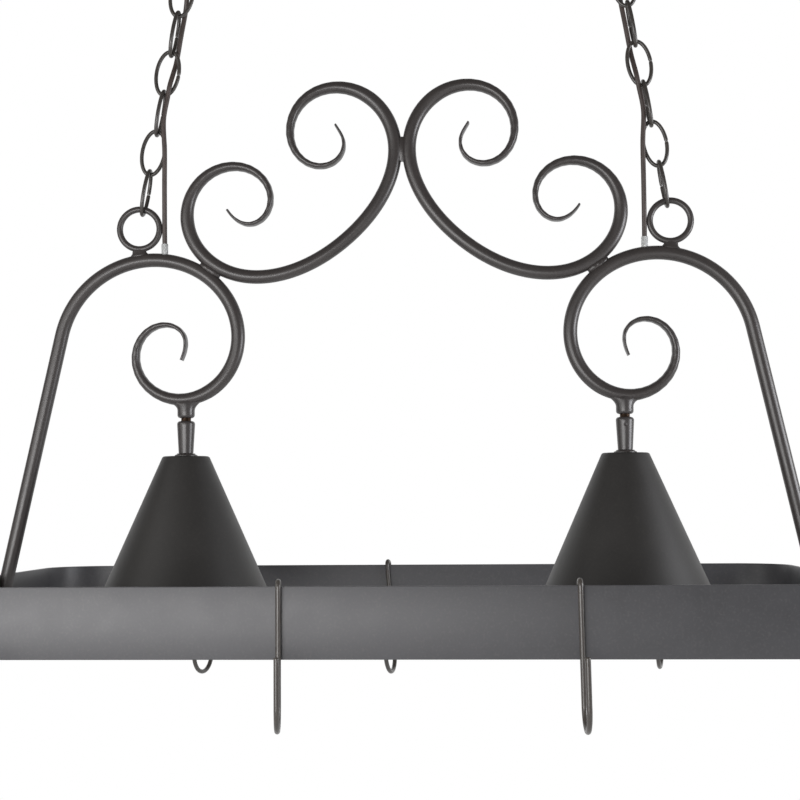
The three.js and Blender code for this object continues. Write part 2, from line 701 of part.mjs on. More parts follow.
// An S hook for a band whose face is x = 0 and which lies behind it: a short leg behind the band, a tight
// bend over the edge, a long stem in front, and a wide bowl that turns up and outwards. It is turned about
// the middle of the band, and leans along it.
function hookGeometry(turn, lean) {
  const legX = -bandThickness - hookPlay - hookWire / 2;
  const stemX = hookPlay + hookWire / 2;
  const topRadius = (stemX - legX) / 2;
  const topZ = -0.5;
  const hookSag = 0.35;
  const bowlZ = hookWire / 2 + hookBowlRadius - hookDrop;
  const leg = { x: legX, z: topZ - hookShortLeg, heading: 90, s: 0 };
  const legTop = { ...leg, z: topZ };
  const over = bendFrom(legTop, -1, [[0, topRadius], [180, topRadius]], hookSag);
  const bowlStart = { x: stemX, z: bowlZ, heading: -90, s: 0 };
  const bowl = bendFrom(bowlStart, 1, [[0, hookBowlRadius], [180, hookBowlRadius]], hookSag);
  const tip = { x: stemX + 2 * hookBowlRadius, z: -hookTipDrop, heading: 90, s: 0 };
  const wire = bar([leg, legTop, ...over, bowlStart, ...bowl, tip], hookWire / 2, 6);
  wire.translate(bandThickness / 2, 0, 0).rotateZ(rad(turn)).rotateX(rad(lean));
  return wire.translate(-bandThickness / 2, 0, 0);
}

// ---- band and screws --------------------------------------------------------------------------------

// A rectangle with round corners, for the band's outline.
function roundedOutline(path, length, depth, radius) {
  const [x, y] = [length / 2 - radius, depth / 2 - radius];
  path.absarc(x, -y, radius, -Math.PI / 2, 0);
  path.absarc(x, y, radius, 0, Math.PI / 2);
  path.absarc(-x, y, radius, Math.PI / 2, Math.PI);
  path.absarc(-x, -y, radius, Math.PI, 3 * Math.PI / 2);
  path.closePath();
  return path;
}

function bandGeometry() {
  const outline = roundedOutline(new THREE.Shape(), bandLength, bandDepth, bandCornerRadius);
  const inner = [bandLength, bandDepth].map((size) => size - 2 * bandThickness);
  outline.holes.push(roundedOutline(new THREE.Path(), ...inner, bandCornerRadius - bandThickness));
  const options = { depth: bandHeight, bevelEnabled: false, curveSegments: 5 };
  const strip = new THREE.ExtrudeGeometry(outline, options).translate(0, 0, -bandHeight);
  const reach = bandThickness + 1;
  const holes = [-1, 1].flatMap((side) => screwHeights.map((z) => (
    crossHole(screwShankRadius + fitGap, bandInnerX - 1, bandInnerX + reach, z).scale(side, 1, 1))));
  return cut(strip, ...holes);
}

// A round-head screw along +X, its head outside the band.
function screwGeometry() {
  const seat = bandLength / 2 + fitGap;
  const end = bandInnerX - screwReach + fitGap;
  const rim = screwHeadHeight / 3;
  return turned([[0, end], [screwShankRadius, end], [screwShankRadius, seat], [screwHeadRadius, seat],
    [screwHeadRadius, seat + rim], [screwHeadRadius * 0.6, seat + screwHeadHeight],
    [0, seat + screwHeadHeight]], 8).rotateY(Math.PI / 2);
}

// ---- assembly ---------------------------------------------------------------------------------------

const rack = new THREE.Group();
rack.position.z = -ceilingZ;
const model = new THREE.Group();
model.add(rack);

function place(parent, name, geometry, material, x = 0, y = 0, z = 0) {
  const mesh = new THREE.Mesh(geometry, material());
  mesh.name = name;
  mesh.position.set(x, y, z);
  parent.add(mesh);
  return mesh;
}

place(rack, 'band', bandGeometry(), bandPaint);

const link = linkGeometry();
const right = {
  arch: archGeometry(),
  scroll: bar(scrollTube, tubeRadius, tubeSides),
  ring: ringGeometry(),
  ferrule: ferruleGeometry(),
  cord: cordGeometry(),
  screw: screwGeometry(),
};
const upright = {
  sleeve: sleeveGeometry(),
  nipple: ballNippleGeometry(),
  swivel: swivelGeometry(),
  checkRing: checkRingGeometry(),
  shade: shadeGeometry(),
  holder: holderGeometry(),
  bulb: bulbGeometry(),
  loop: loopGeometry(),
  collar: collarGeometry(),
  canopy: canopyGeometry(),
  strap: strapGeometry(),
};

for (const [side, sign] of [['left', -1], ['right', 1]]) {
  const handed = (geometry) => (sign < 0 ? mirrored(geometry) : geometry);
  place(rack, `arch_${side}`, handed(right.arch), darkPaint);
  place(rack, `scroll_${side}`, handed(right.scroll), darkPaint);
  place(rack, `ring_${side}`, handed(right.ring), darkPaint);
  place(rack, `sleeve_${side}`, upright.sleeve, clearPlastic, sign * sleeveX);
  place(rack, `cord_${side}`, handed(right.cord), cordPlastic);

  screwHeights.forEach((z, i) => {
    place(rack, `band_screw_${side}_${['lower', 'upper'][i]}`, handed(right.screw), zincSteel, 0, 0, z);
  });

  const lamp = sign * lampX;
  place(rack, `ferrule_${side}`, handed(right.ferrule), darkPaint);
  place(rack, `ball_nipple_${side}`, upright.nipple, brass, lamp);
  place(rack, `swivel_${side}`, upright.swivel, darkPaint, lamp);
  place(rack, `check_ring_${side}`, upright.checkRing, darkPaint, lamp);
  place(rack, `shade_${side}`, upright.shade, shadePaint, lamp);
  place(rack, `lampholder_${side}`, upright.holder, blackPlastic, lamp);
  place(rack, `bulb_${side}`, upright.bulb, frostedGlass, lamp);

  // The chain's group is turned to its lean about the centre of the ring. Its links are counted from the
  // ceiling down, and every other one is turned a quarter about the chain's line.
  const chain = new THREE.Group();
  chain.position.set(sign * ringX, 0, ringZ);
  chain.rotation.y = -sign * rad(chainLean);
  rack.add(chain);
  for (let fromRing = linksPerChain - 1; fromRing >= 0; fromRing -= 1) {
    const name = `chain_${side}_${linksPerChain - fromRing}`;
    const mesh = place(chain, name, link, chainFinish, 0, 0, linkAt(fromRing));
    if (fromRing % 2 === 0) mesh.rotation.z = Math.PI / 2;
  }

  const fitting = sign * fittingX;
  place(rack, `ceiling_loop_${side}`, upright.loop, chainFinish, fitting);
  place(rack, `collar_${side}`, upright.collar, darkPaint, fitting);
  place(rack, `canopy_${side}`, upright.canopy, darkPaint, fitting);
  place(rack, `mounting_strap_${side}`, upright.strap, zincSteel, fitting);
}

// The hooks hang on the straight runs of the band. Each row has a name, the number of its first hook, the
// face of the band that its hooks hang in front of, and the way their bowls point.
const backFace = bandDepth / 2;
for (const [row, first, places, faceY, way] of [['front', 1, frontHooks, -backFace, -1],
  ['back', 1, inwardHooks, backFace - bandThickness, -1],
  ['back', 1 + inwardHooks.length, outwardHooks, backFace, 1]]) {
  places.forEach(([x, turn, lean], i) => {
    const mesh = place(rack, `hook_${row}_${first + i}`, hookGeometry(turn, lean), darkPaint, x, faceY);
    mesh.rotation.z = way * Math.PI / 2;
  });
}

export default model;
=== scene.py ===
"""A hanging pot rack of satin bronze-black steel: a flat band, two arches with curls, two C
scrolls, chains, two cone downlights and S hooks. Shapes are worked out in millimetres from the
band's top edge and the middle of the rack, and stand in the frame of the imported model, whose
ceiling is z = 0."""
import bmesh
import bpy
import numpy as np
from mathutils import Matrix, Vector


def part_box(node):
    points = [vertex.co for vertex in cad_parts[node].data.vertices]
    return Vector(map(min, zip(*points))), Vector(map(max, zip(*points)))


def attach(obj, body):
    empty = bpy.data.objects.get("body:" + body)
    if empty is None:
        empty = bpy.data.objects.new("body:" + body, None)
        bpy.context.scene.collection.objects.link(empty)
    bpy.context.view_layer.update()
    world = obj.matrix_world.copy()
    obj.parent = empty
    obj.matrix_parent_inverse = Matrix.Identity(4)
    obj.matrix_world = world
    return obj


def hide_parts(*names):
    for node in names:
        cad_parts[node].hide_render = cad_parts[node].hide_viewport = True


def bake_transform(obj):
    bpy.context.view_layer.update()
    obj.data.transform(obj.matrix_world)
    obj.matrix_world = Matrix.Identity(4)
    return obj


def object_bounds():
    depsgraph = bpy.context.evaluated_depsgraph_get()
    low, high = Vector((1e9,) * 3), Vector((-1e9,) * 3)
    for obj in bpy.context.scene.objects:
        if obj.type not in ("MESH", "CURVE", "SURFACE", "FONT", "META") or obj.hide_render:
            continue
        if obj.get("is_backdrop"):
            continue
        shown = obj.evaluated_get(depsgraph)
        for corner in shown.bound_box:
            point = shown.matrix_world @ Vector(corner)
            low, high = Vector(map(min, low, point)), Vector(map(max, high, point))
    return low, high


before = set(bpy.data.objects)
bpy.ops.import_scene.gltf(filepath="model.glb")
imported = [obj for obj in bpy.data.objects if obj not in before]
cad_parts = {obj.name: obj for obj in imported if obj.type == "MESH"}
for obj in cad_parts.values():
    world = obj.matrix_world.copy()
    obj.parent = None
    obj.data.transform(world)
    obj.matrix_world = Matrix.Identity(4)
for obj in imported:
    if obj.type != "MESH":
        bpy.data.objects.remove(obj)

cad_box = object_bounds()

# ---- the band ------------------------------------------------------------------------------------
# A strip of flat steel, 62 x 3 mm, rolled round four corners and welded into a rounded rectangle.
# The strip's edges keep the small radius of rolled flat bar. It is sprayed with satin bronze-black
# paint.

band_low, band_high = (np.array(corner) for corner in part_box("band"))
rack_z = band_high[2]
band_height = (band_high[2] - band_low[2]) * 1000
band_thickness = 3.0
band_corner = 60.0
flat_bar_edge = 0.55


def linear(colour):
    """An sRGB hex colour as linear RGBA: c / 12.92 below 0.04045, and above it (c + 0.055) / 1.055
    to the power 2.4."""
    c = np.array([int(colour[i:i + 2], 16) for i in (1, 3, 5)]) / 255
    return (*np.where(c < 0.04045, c / 12.92, ((c + 0.055) / 1.055) ** 2.4), 1.0)


def node(tree, kind, inputs=None, **settings):
    """Adds a shader node, sets its properties, and sets or links its inputs by name or number."""
    made = tree.nodes.new("ShaderNode" + kind)
    for name, value in settings.items():
        setattr(made, name, value)
    for key, value in (inputs or {}).items():
        if isinstance(value, bpy.types.NodeSocket):
            tree.links.new(value, made.inputs[key])
        else:
            made.inputs[key].default_value = value
    return made


def finish(name, **settings):
    """A material with a Principled shader. Returns the material, its tree, the shader and object
    coordinates."""
    material = bpy.data.materials.new(name)
    material.use_nodes = True
    tree = material.node_tree
    tree.nodes.clear()
    inputs = {key.replace("_", " "): value for key, value in settings.items()}
    shader = node(tree, "BsdfPrincipled", inputs)
    node(tree, "OutputMaterial", {"Surface": shader.outputs["BSDF"]})
    place = node(tree, "TexCoord").outputs["Object"]
    return material, tree, shader, place


def satin_paint(name, shadow, body, warm, roughness):
    """Sprayed satin lacquer on steel. The eye gets an even dark brown-black with a faint brown
    cloud where the coat is thinner, a soft wide highlight, and a very shallow orange peel. Clouds
    are 25 mm across, the specks where the coat is thinnest 2.4 mm, and the peel's grain 1.25 mm."""
    material, tree, shader, place = finish(name, Specular_IOR_Level=0.6)
    cloud = node(tree, "TexNoise", {"Vector": place, "Scale": 40.0, "Detail": 3.0,
                                    "Roughness": 0.6})
    speck = node(tree, "TexNoise", {"Vector": place, "Scale": 420.0, "Detail": 2.0})
    ground = node(tree, "Mix", {"Factor": cloud.outputs["Fac"], 6: linear(shadow), 7: linear(body)},
                  data_type="RGBA")
    thin = node(tree, "MapRange", {"Value": speck.outputs["Fac"], "From Min": 0.52,
                                   "From Max": 0.78, "To Max": 0.5})
    tint = node(tree, "Mix", {"Factor": thin.outputs["Result"], 6: ground.outputs[2],
                              7: linear(warm)}, data_type="RGBA")
    gloss = node(tree, "MapRange", {"Value": cloud.outputs["Fac"], "To Min": roughness - 0.06,
                                    "To Max": roughness + 0.06})
    peel = node(tree, "TexNoise", {"Vector": place, "Scale": 800.0, "Detail": 2.0})
    bump = node(tree, "Bump", {"Height": peel.outputs["Fac"], "Distance": 0.00002, "Strength": 0.1})
    tree.links.new(tint.outputs[2], shader.inputs["Base Color"])
    tree.links.new(gloss.outputs["Result"], shader.inputs["Roughness"])
    tree.links.new(bump.outputs["Normal"], shader.inputs["Normal"])
    return material


def skin(grid, looped=False):
    """Points and faces of a grid of points, rows x round x 3. Its columns wrap round. Its rows wrap
    too if it is looped, or else the first and last row are closed by flat caps."""
    rows, round_ = grid.shape[:2]
    i = np.arange(rows if looped else rows - 1)[:, None]
    j = np.arange(round_)[None]
    corner = lambda a, b: (a % rows) * round_ + b % round_
    quads = np.stack([corner(i, j), corner(i, j + 1), corner(i + 1, j + 1), corner(i + 1, j)], -1)
    faces = quads.reshape(-1, 4).tolist()
    if not looped:
        faces += [list(range(round_))[::-1], list(range((rows - 1) * round_, rows * round_))]
    return grid.reshape(-1, 3), faces


def piece(name, skins, material, body, stands_for, sharp=38.0):
    """One object from closed skins in millimetres from the band's top edge. Doubled points at seams
    and poles are merged, the faces are turned outwards, and edges sharper than the given angle are
    kept sharp."""
    points, faces, start = [], [], 0
    for skin_points, skin_faces in skins:
        points.append(skin_points)
        faces += [[start + k for k in face] for face in skin_faces]
        start += len(skin_points)
    mesh = bpy.data.meshes.new(name)
    mesh.from_pydata((np.concatenate(points) / 1000 + [0, 0, rack_z]).tolist(), [], faces)
    work = bmesh.new()
    work.from_mesh(mesh)
    bmesh.ops.remove_doubles(work, verts=work.verts, dist=2e-7)
    bmesh.ops.recalc_face_normals(work, faces=work.faces)
    work.to_mesh(mesh)
    work.free()
    mesh.polygons.foreach_set("use_smooth", np.ones(len(mesh.polygons), bool))
    mesh.set_sharp_from_angle(angle=np.radians(sharp))
    mesh.materials.append(material)
    made = bpy.data.objects.new(name, mesh)
    bpy.context.scene.collection.objects.link(made)
    if body:
        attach(made, body)
    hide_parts(stands_for)
    return made


def rounded_outline(half_x, half_y, radius, steps):
    """A rounded rectangle as points and outward normals: four quarter circles joined by straight
    runs, which get points of their own."""
    turn = np.radians(np.linspace(0, 90, steps + 1))
    spots, ways = [], []
    for quarter, (sx, sy) in enumerate(((1, 1), (-1, 1), (-1, -1), (1, -1))):
        angle = turn + quarter * np.pi / 2
        way = np.stack([np.cos(angle), np.sin(angle)], 1)
        centre = np.array([sx * (half_x - radius), sy * (half_y - radius)])
        spots.append(centre + radius * way)
        ways.append(way)
        after = np.round([-way[-1][1], way[-1][0]])
        length = 2 * ((half_x if after[0] else half_y) - radius)
        run = np.linspace(0, 1, 14)[1:-1, None] * length
        spots.append(spots[-1][-1] + run * after)
        ways.append(np.repeat(way[-1:], len(run), 0))
    return np.concatenate(spots), np.concatenate(ways)


def band_grid():
    """The band's surface: the outline's point less its normal times the depth into the strip, and
    the height, where depth and height run round a rectangle with corners of the flat bar's edge
    radius."""
    half_x, half_y = band_high[0] * 1000, band_high[1] * 1000
    spots, ways = rounded_outline(half_x, half_y, band_corner, 24)
    turn = np.radians(np.arange(0, 91, 30))
    arcs = []
    for k, (depth, height) in enumerate(((band_thickness, 0), (band_thickness, -band_height),
                                         (0, -band_height), (0, 0))):
        centre = np.array([np.clip(depth, flat_bar_edge, band_thickness - flat_bar_edge),
                           np.clip(height, flat_bar_edge - band_height, -flat_bar_edge)])
        angle = np.pi / 2 - k * np.pi / 2 - turn
        arcs.append(centre + flat_bar_edge * np.stack([np.cos(angle), np.sin(angle)], 1))
    section = np.concatenate(arcs)
    depth, height = section[None, :, 0, None], section[None, :, 1]
    flat = spots[:, None] - ways[:, None] * depth
    return np.concatenate([flat, np.broadcast_to(height, flat.shape[:2])[..., None]], -1)


band_paint = satin_paint("satin lacquer on flat steel", "#3f3f42", "#49494d", "#555456", 0.42)
piece("flat_band", [skin(band_grid(), looped=True)], band_paint, "rack", "band")

# ---- the arches ----------------------------------------------------------------------------------
# Round tube, 14 mm, bent on rollers: an upright foot inside the band, a leaning arm, a shoulder,
# and a curl that tightens to a tip. The last 200 mm are hammered flatter and squarer, no wider than
# the tube, and the tip is cut square.

tube = 14.0
arch_top_x, arch_top_z = 253.9, 318.8
shoulder = 96.7
foot_bend, foot_straight, foot_inset = 80.0, 34.0, 8.0
curl_bends = ((0, 96.7), (133, 60.7), (261, 39.4), (352, 26.9), (435, 15.9), (475, 58.8))
curl_taper = 200.0
tip_thick, tip_wide = 2.4, 14.0
hammer_marks = 9.0  # from one to the next
fit_gap = 0.3  # left between two pieces that touch
sides = (("left", -1), ("right", 1))


def bend(start, side, bends, step=1.5):
    """Rows of x, z, heading and length along a bend in the XZ plane. The radius runs between the
    listed ones by an equal factor per degree turned; each step adds the chord 2 r sin(step / 2) at
    the middle heading."""
    x, z, heading, length = start
    total = bends[-1][0]
    turn = total / np.ceil(total / step)
    middle = np.arange(turn / 2, total, turn)
    radius = np.exp(np.interp(middle, [angle for angle, _ in bends], [np.log(r) for _, r in bends]))
    chord = 2 * radius * np.sin(np.radians(turn / 2))
    way = np.radians(heading + side * middle)
    return np.stack([x + np.cumsum(chord * np.cos(way)), z + np.cumsum(chord * np.sin(way)),
                     heading + side * (middle + turn / 2),
                     length + np.cumsum(radius * np.radians(turn))], 1)


def bar(path, half, wide, round_=28, square=2.0):
    """The surface of a bar along a path in the XZ plane: the path's point, plus its normal times
    half times cos a, plus Y times wide times sin a. Cos a and sin a are raised to 2 / square, where
    square is 2 for a round bar and more for a flatter one."""
    a = 2 * np.pi * np.arange(round_) / round_
    turn = np.radians(path[:, 2])
    ones = np.ones(len(path))
    power = (2 / (ones * square))[:, None]
    across = np.sign(np.cos(a)) * np.abs(np.cos(a)) ** power * (half * ones)[:, None]
    depth = np.sign(np.sin(a)) * np.abs(np.sin(a)) ** power * (wide * ones)[:, None]
    return np.stack([path[:, 0, None] - np.sin(turn)[:, None] * across, depth,
                     path[:, 1, None] + np.cos(turn)[:, None] * across], -1)


def hammered(path, taper):
    """Half thickness, half width and squareness of a tube beaten out towards its end. The halves go
    evenly from the tube to the tip, times 1 plus a sine of the length, up to 5 per cent, that grows
    over the taper and dies out at the very tip. The squareness grows by the square of the way."""
    left = np.clip((path[-1, 3] - path[:, 3]) / taper, 0, 1)
    wave = np.sin(path[:, 3] / hammer_marks * 2 * np.pi)
    marks = 0.05 * (1 - left) * wave * np.clip(left * 12, 0, 1)
    half = (tip_thick / 2 + (tube - tip_thick) / 2 * left) * (1 + marks)
    wide = (tip_wide / 2 + (tube - tip_wide) / 2 * left) * (1 - 0.4 * marks)
    return half, wide, 2 + 1.6 * (1 - left) ** 2


def arch_path():
    """The arch from foot to tip. The arm touches the foot's bend and the shoulder's circle, and
    that gives its lean: the angle between their centres, less asin of the difference of their radii
    over the distance."""
    foot_x = band_high[0] * 1000 - band_thickness - fit_gap - tube / 2
    foot_z = foot_inset - band_height
    dx = arch_top_x - (foot_x - foot_bend)
    dz = arch_top_z - shoulder - (foot_z + foot_straight)
    heading = np.degrees(np.arctan2(dz, dx) - np.arcsin((shoulder - foot_bend) / np.hypot(dx, dz)))
    foot = np.array([[foot_x, foot_z, 90, 0], [foot_x, foot_z + foot_straight, 90, foot_straight]])
    low = bend(foot[-1], 1, ((0, foot_bend), (heading - 90, foot_bend)))
    lean = np.radians(heading - 90)
    x, z = arch_top_x + shoulder * np.cos(lean), arch_top_z - shoulder + shoulder * np.sin(lean)
    arm = np.hypot(x - low[-1, 0], z - low[-1, 1])
    run = np.linspace(0, 1, 12)[1:, None]
    straight = low[-1] + run * np.array([[x - low[-1, 0], z - low[-1, 1], 0, arm]])
    top = bend(straight[-1], 1, ((0, shoulder), (180 - heading, shoulder)))
    return np.concatenate([foot, low, straight, top, bend(top[-1], 1, curl_bends)])


def handed(points, sign):
    """The same points for the left or the right side of the rack."""
    return points * np.array([sign, 1, 1])


dark_paint = satin_paint("satin lacquer on tube", "#312d2d", "#3b3736", "#463f3c", 0.36)
arch = arch_path()
arch_half, arch_wide, arch_square = hammered(arch, curl_taper)
arch_grid = bar(arch, arch_half, arch_wide, square=arch_square)
for side, sign in sides:
    piece(f"arch_tube_{side}", [skin(handed(arch_grid, sign))], dark_paint, "rack",
          f"arch_{side}")

# ---- the screws ----------------------------------------------------------------------------------
# Four round-head machine screws, zinc plated, that hold the band to the feet of the arches. The
# head is a low dome with a hexagon socket.

screw_heights = (-45.0, -17.0)


def socket_screw(x, z, sign):
    """Turned about X: radius times the hexagon's 1 / cos(angle from the nearest flat) on the
    socket's rows."""
    radius = np.array([0, 2.4, 2.4, 5, 5, 4.85, 4.3, 3.2, 1.75, 1.6, 1.6, 0])
    along = np.array([-11.7, -11.7, 0, 0, 0.9, 1.25, 1.95, 2.45, 2.6, 2.45, 0.9, 0.9])
    hexed = np.array([0, 0, 0, 0, 0, 0, 0, 0, 0, 1, 1, 0])[:, None]
    a = 2 * np.pi * np.arange(48) / 48
    hexagon = 1 / np.cos((a % (np.pi / 3)) - np.pi / 6)
    r = radius[:, None] * (1 - hexed + hexed * hexagon)
    return np.stack([sign * (x + np.broadcast_to(along[:, None], r.shape)), r * np.cos(a),
                     z + r * np.sin(a)], -1)


def clouded(name, scale, detail, colours, roughness, **settings):
    """A material whose colour and roughness drift together between two values each, with clouds of
    1000 / scale millimetres."""
    material, tree, shader, place = finish(name, **settings)
    cloud = node(tree, "TexNoise", {"Vector": place, "Scale": scale, "Detail": detail})
    colour = node(tree, "Mix", {"Factor": cloud.outputs["Fac"], 6: linear(colours[0]),
                                7: linear(colours[1])}, data_type="RGBA")
    gloss = node(tree, "MapRange", {"Value": cloud.outputs["Fac"], "To Min": roughness[0],
                                    "To Max": roughness[1]})
    tree.links.new(colour.outputs[2], shader.inputs["Base Color"])
    tree.links.new(gloss.outputs["Result"], shader.inputs["Roughness"])
    return material


# Bright zinc plating: a blue-white metal with faint straw clouds 6 mm across and a soft gloss.
zinc = clouded("zinc plated steel", 160.0, 3.0, ("#a9abae", "#b3afa2"), (0.32 - 0.05, 0.32 + 0.08),
               Metallic=1.0)
for side, sign in sides:
    for level, height in zip(("lower", "upper"), screw_heights):
        grid = socket_screw(band_high[0] * 1000 + 0.1, height, sign)
        piece(f"round_head_screw_{side}_{level}", [skin(grid)], zinc, "rack",
              f"band_screw_{side}_{level}", sharp=30)

# ---- the C scrolls -------------------------------------------------------------------------------
# The same tube, rolled both ways from the waist where the two scrolls touch, and hammered at both
# ends. They are welded to each other at the waist and to the arches' shoulders where they rest on
# them.

waist_radius = 72.5
waist_x = tube / 2 + fit_gap / 2
lower_bends = ((0, waist_radius), (50, 195.7), (101, 79.3), (181, 53.4), (251, 46.7), (380, 27.6),
               (455, 17.2), (508, 43.3))
upper_bends = ((0, waist_radius), (60, 59.2), (124, 45.8), (179, 43.2), (260, 27.3), (340, 20.6),
               (385, 22), (393, 238))
lower_taper, upper_taper = 205.0, 220.0


def scroll_path():
    """The scroll from the upper tip over the waist to the lower tip, with its half thickness, half
    width and squareness. It is lowered, by halving steps, until its line is a tube and the fit's
    gap from the arch's."""
    up = bend((waist_x, 0, 90, 0), -1, upper_bends)
    down = bend((waist_x, 0, -90, 0), 1, lower_bends)
    lift = arch_top_z + 3 * shoulder
    for step in 200 * 0.5 ** np.arange(16):
        gap = down[:, None, :2] + [0, lift - step] - arch[None, :, :2]
        if np.hypot(gap[..., 0], gap[..., 1]).min() > tube + fit_gap:
            lift -= step
    forms = [hammered(up, upper_taper), hammered(down, lower_taper)]
    back = up[::-1] * [1, 1, 1, -1] + [0, 0, 180, 0]
    path = np.concatenate([back, [[waist_x, 0, 270, 0]], down + [0, 0, 360, 0]])
    path = path + [0, lift, 0, 0]
    middle = ([tube / 2], [tube / 2], [2.0])
    return path, [np.concatenate([a[::-1], m, b]) for a, m, b in zip(forms[0], middle, forms[1])]


scroll, (scroll_half, scroll_wide, scroll_square) = scroll_path()
scroll_grid = bar(scroll, scroll_half, scroll_wide, square=scroll_square)


def bead(centre, along, across, deep, lean):
    """A weld bead: along times cos v, and deep and across times sin v to the power 0.6, turned by
    lean in the XZ plane. Its skin ripples by 5 per cent along the way the torch went."""
    v = np.radians(np.linspace(0, 180, 25))[:, None]
    a = (2 * np.pi * np.arange(28) / 28)[None]
    wave = 1 + 0.05 * np.sin(along * 1.1 * np.cos(v) + 1.0) * np.sin(v)
    x = along * np.cos(v) + 0 * a
    y = deep * np.sin(v) ** 0.6 * np.cos(a) * wave
    z = across * np.sin(v) ** 0.6 * np.sin(a) * wave
    cos, sin = np.cos(np.radians(lean)), np.sin(np.radians(lean))
    return np.stack([centre[0] + x * cos - z * sin, y, centre[1] + x * sin + z * cos], -1)


def fillet(centre, rows, lean=0.0):
    """A weld drawn out between two bars: ovals with half sizes along X and along Y at heights from
    the centre, turned by lean in the XZ plane."""
    rx, ry, z = np.array(rows, float).T[:, :, None]
    a = (2 * np.pi * np.arange(32) / 32)[None]
    x, y, z = rx * np.cos(a), ry * np.sin(a), z + 0 * a
    cos, sin = np.cos(np.radians(lean)), np.sin(np.radians(lean))
    return np.stack([centre[0] + x * cos - z * sin, y, centre[1] + x * sin + z * cos], -1)


def nearest(one, other):
    """The middle between the closest points of two paths, and the first path's heading there."""
    gap = np.hypot(one[:, None, 0] - other[None, :, 0], one[:, None, 1] - other[None, :, 1])
    i, j = np.unravel_index(gap.argmin(), gap.shape)
    return (one[i, :2] + other[j, :2]) / 2, one[i, 2]


seat, seat_heading = nearest(scroll, arch)
waist_z = scroll[scroll[:, 0].argmin(), 1]
bead_grid = bead(seat, 12.0, 4.8, 6.3, seat_heading)
for side, sign in sides:
    piece(f"scroll_tube_{side}", [skin(handed(scroll_grid, sign))], dark_paint, "rack",
          f"scroll_{side}")
    piece(f"scroll_seat_weld_{side}", [skin(handed(bead_grid, sign))], dark_paint, "rack",
          f"scroll_{side}")
# Away from the waist the web grows wider, as the two tubes bend apart, and thinner.
web = [(6.0 + d * d / (2 * waist_radius), 5.8 - 0.014 * d * d, d)
       for d in np.linspace(-12.2, 12.2, 15)]
piece("scroll_waist_weld", [skin(fillet((0.0, waist_z), web))], dark_paint, "rack",
      "scroll_left")

# ---- the rings -----------------------------------------------------------------------------------
# Round bar, 6.35 mm, rolled to a ring 34.5 mm inside and welded upright on the arch, a little
# outwards from its top. The weld is built up into a lump, longer on the tube than under the ring.

ring_wire, ring_radius = 6.35, 20.425
ring_x, ring_z = 268.6, 350.78


def circle_path(x, z, radius, steps):
    """Rows of x, z, heading and length round a circle in the XZ plane."""
    angle = 360 * np.arange(steps) / steps
    turn = np.radians(angle)
    return np.stack([x + radius * np.cos(turn), z + radius * np.sin(turn), angle + 90,
                     radius * turn], 1)


ring_grid = bar(circle_path(ring_x, ring_z, ring_radius, 96), ring_wire / 2, ring_wire / 2,
                round_=20)
ring_weld = [(11.5, 4.2, -3.2), (10.6, 4.9, -1.4), (9.2, 4.7, -0.3), (8.0, 4.2, 0.8),
             (7.3, 3.8, 2.0), (7.1, 3.5, 3.4), (6.6, 3.2, 4.8), (5.2, 2.6, 6.2)]
weld = fillet((ring_x, ring_z - ring_radius - 5.7), ring_weld, lean=-7)
for side, sign in sides:
    skins = [skin(handed(ring_grid, sign), looped=True), skin(handed(weld, sign))]
    piece(f"chain_ring_{side}", skins, dark_paint, "rack", f"ring_{side}")

# ---- the ferrules --------------------------------------------------------------------------------
# A turned steel boss welded under the curl. Its top spreads along the tube in a smooth fillet, and
# its lower end is rounded in to a shallow groove above the swivel.

lamp_x = (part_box("shade_right")[0][0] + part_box("shade_right")[1][0]) * 500
shade_top = (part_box("shade_right")[1][2] - rack_z) * 1000
shade_rim = (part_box("shade_right")[0][2] - rack_z) * 1000
ferrule_low = shade_top + 38.6
curl_under = ferrule_low + 12.0
curl = arch[arch[:, 2] > 180]
curl_lowest = curl[curl[:, 1].argmin(), 0]
curl_radius = 59.0  # of the curl's underside there
ferrule_foot, fillet_wide, fillet_high = 8.7, 9.0, 7.0


def turned(rows, round_=64, x=0.0):
    """The surface of a turned piece: its profile's radius carried round an upright axis."""
    profile = np.array(rows, float)
    a = 2 * np.pi * np.arange(round_) / round_
    r = profile[:, 0, None]
    height = np.broadcast_to(profile[:, 1, None], (len(profile), round_))
    return np.stack([x + r * np.cos(a), r * np.sin(a), height], -1)


def arc(r, z, radius, start, end, steps=6):
    """Profile points on an arc about (r, z), from one angle to the other in degrees."""
    angle = np.radians(np.linspace(start, end, steps + 1))
    return [(r + radius * c, z + radius * s) for c, s in zip(np.cos(angle), np.sin(angle))]


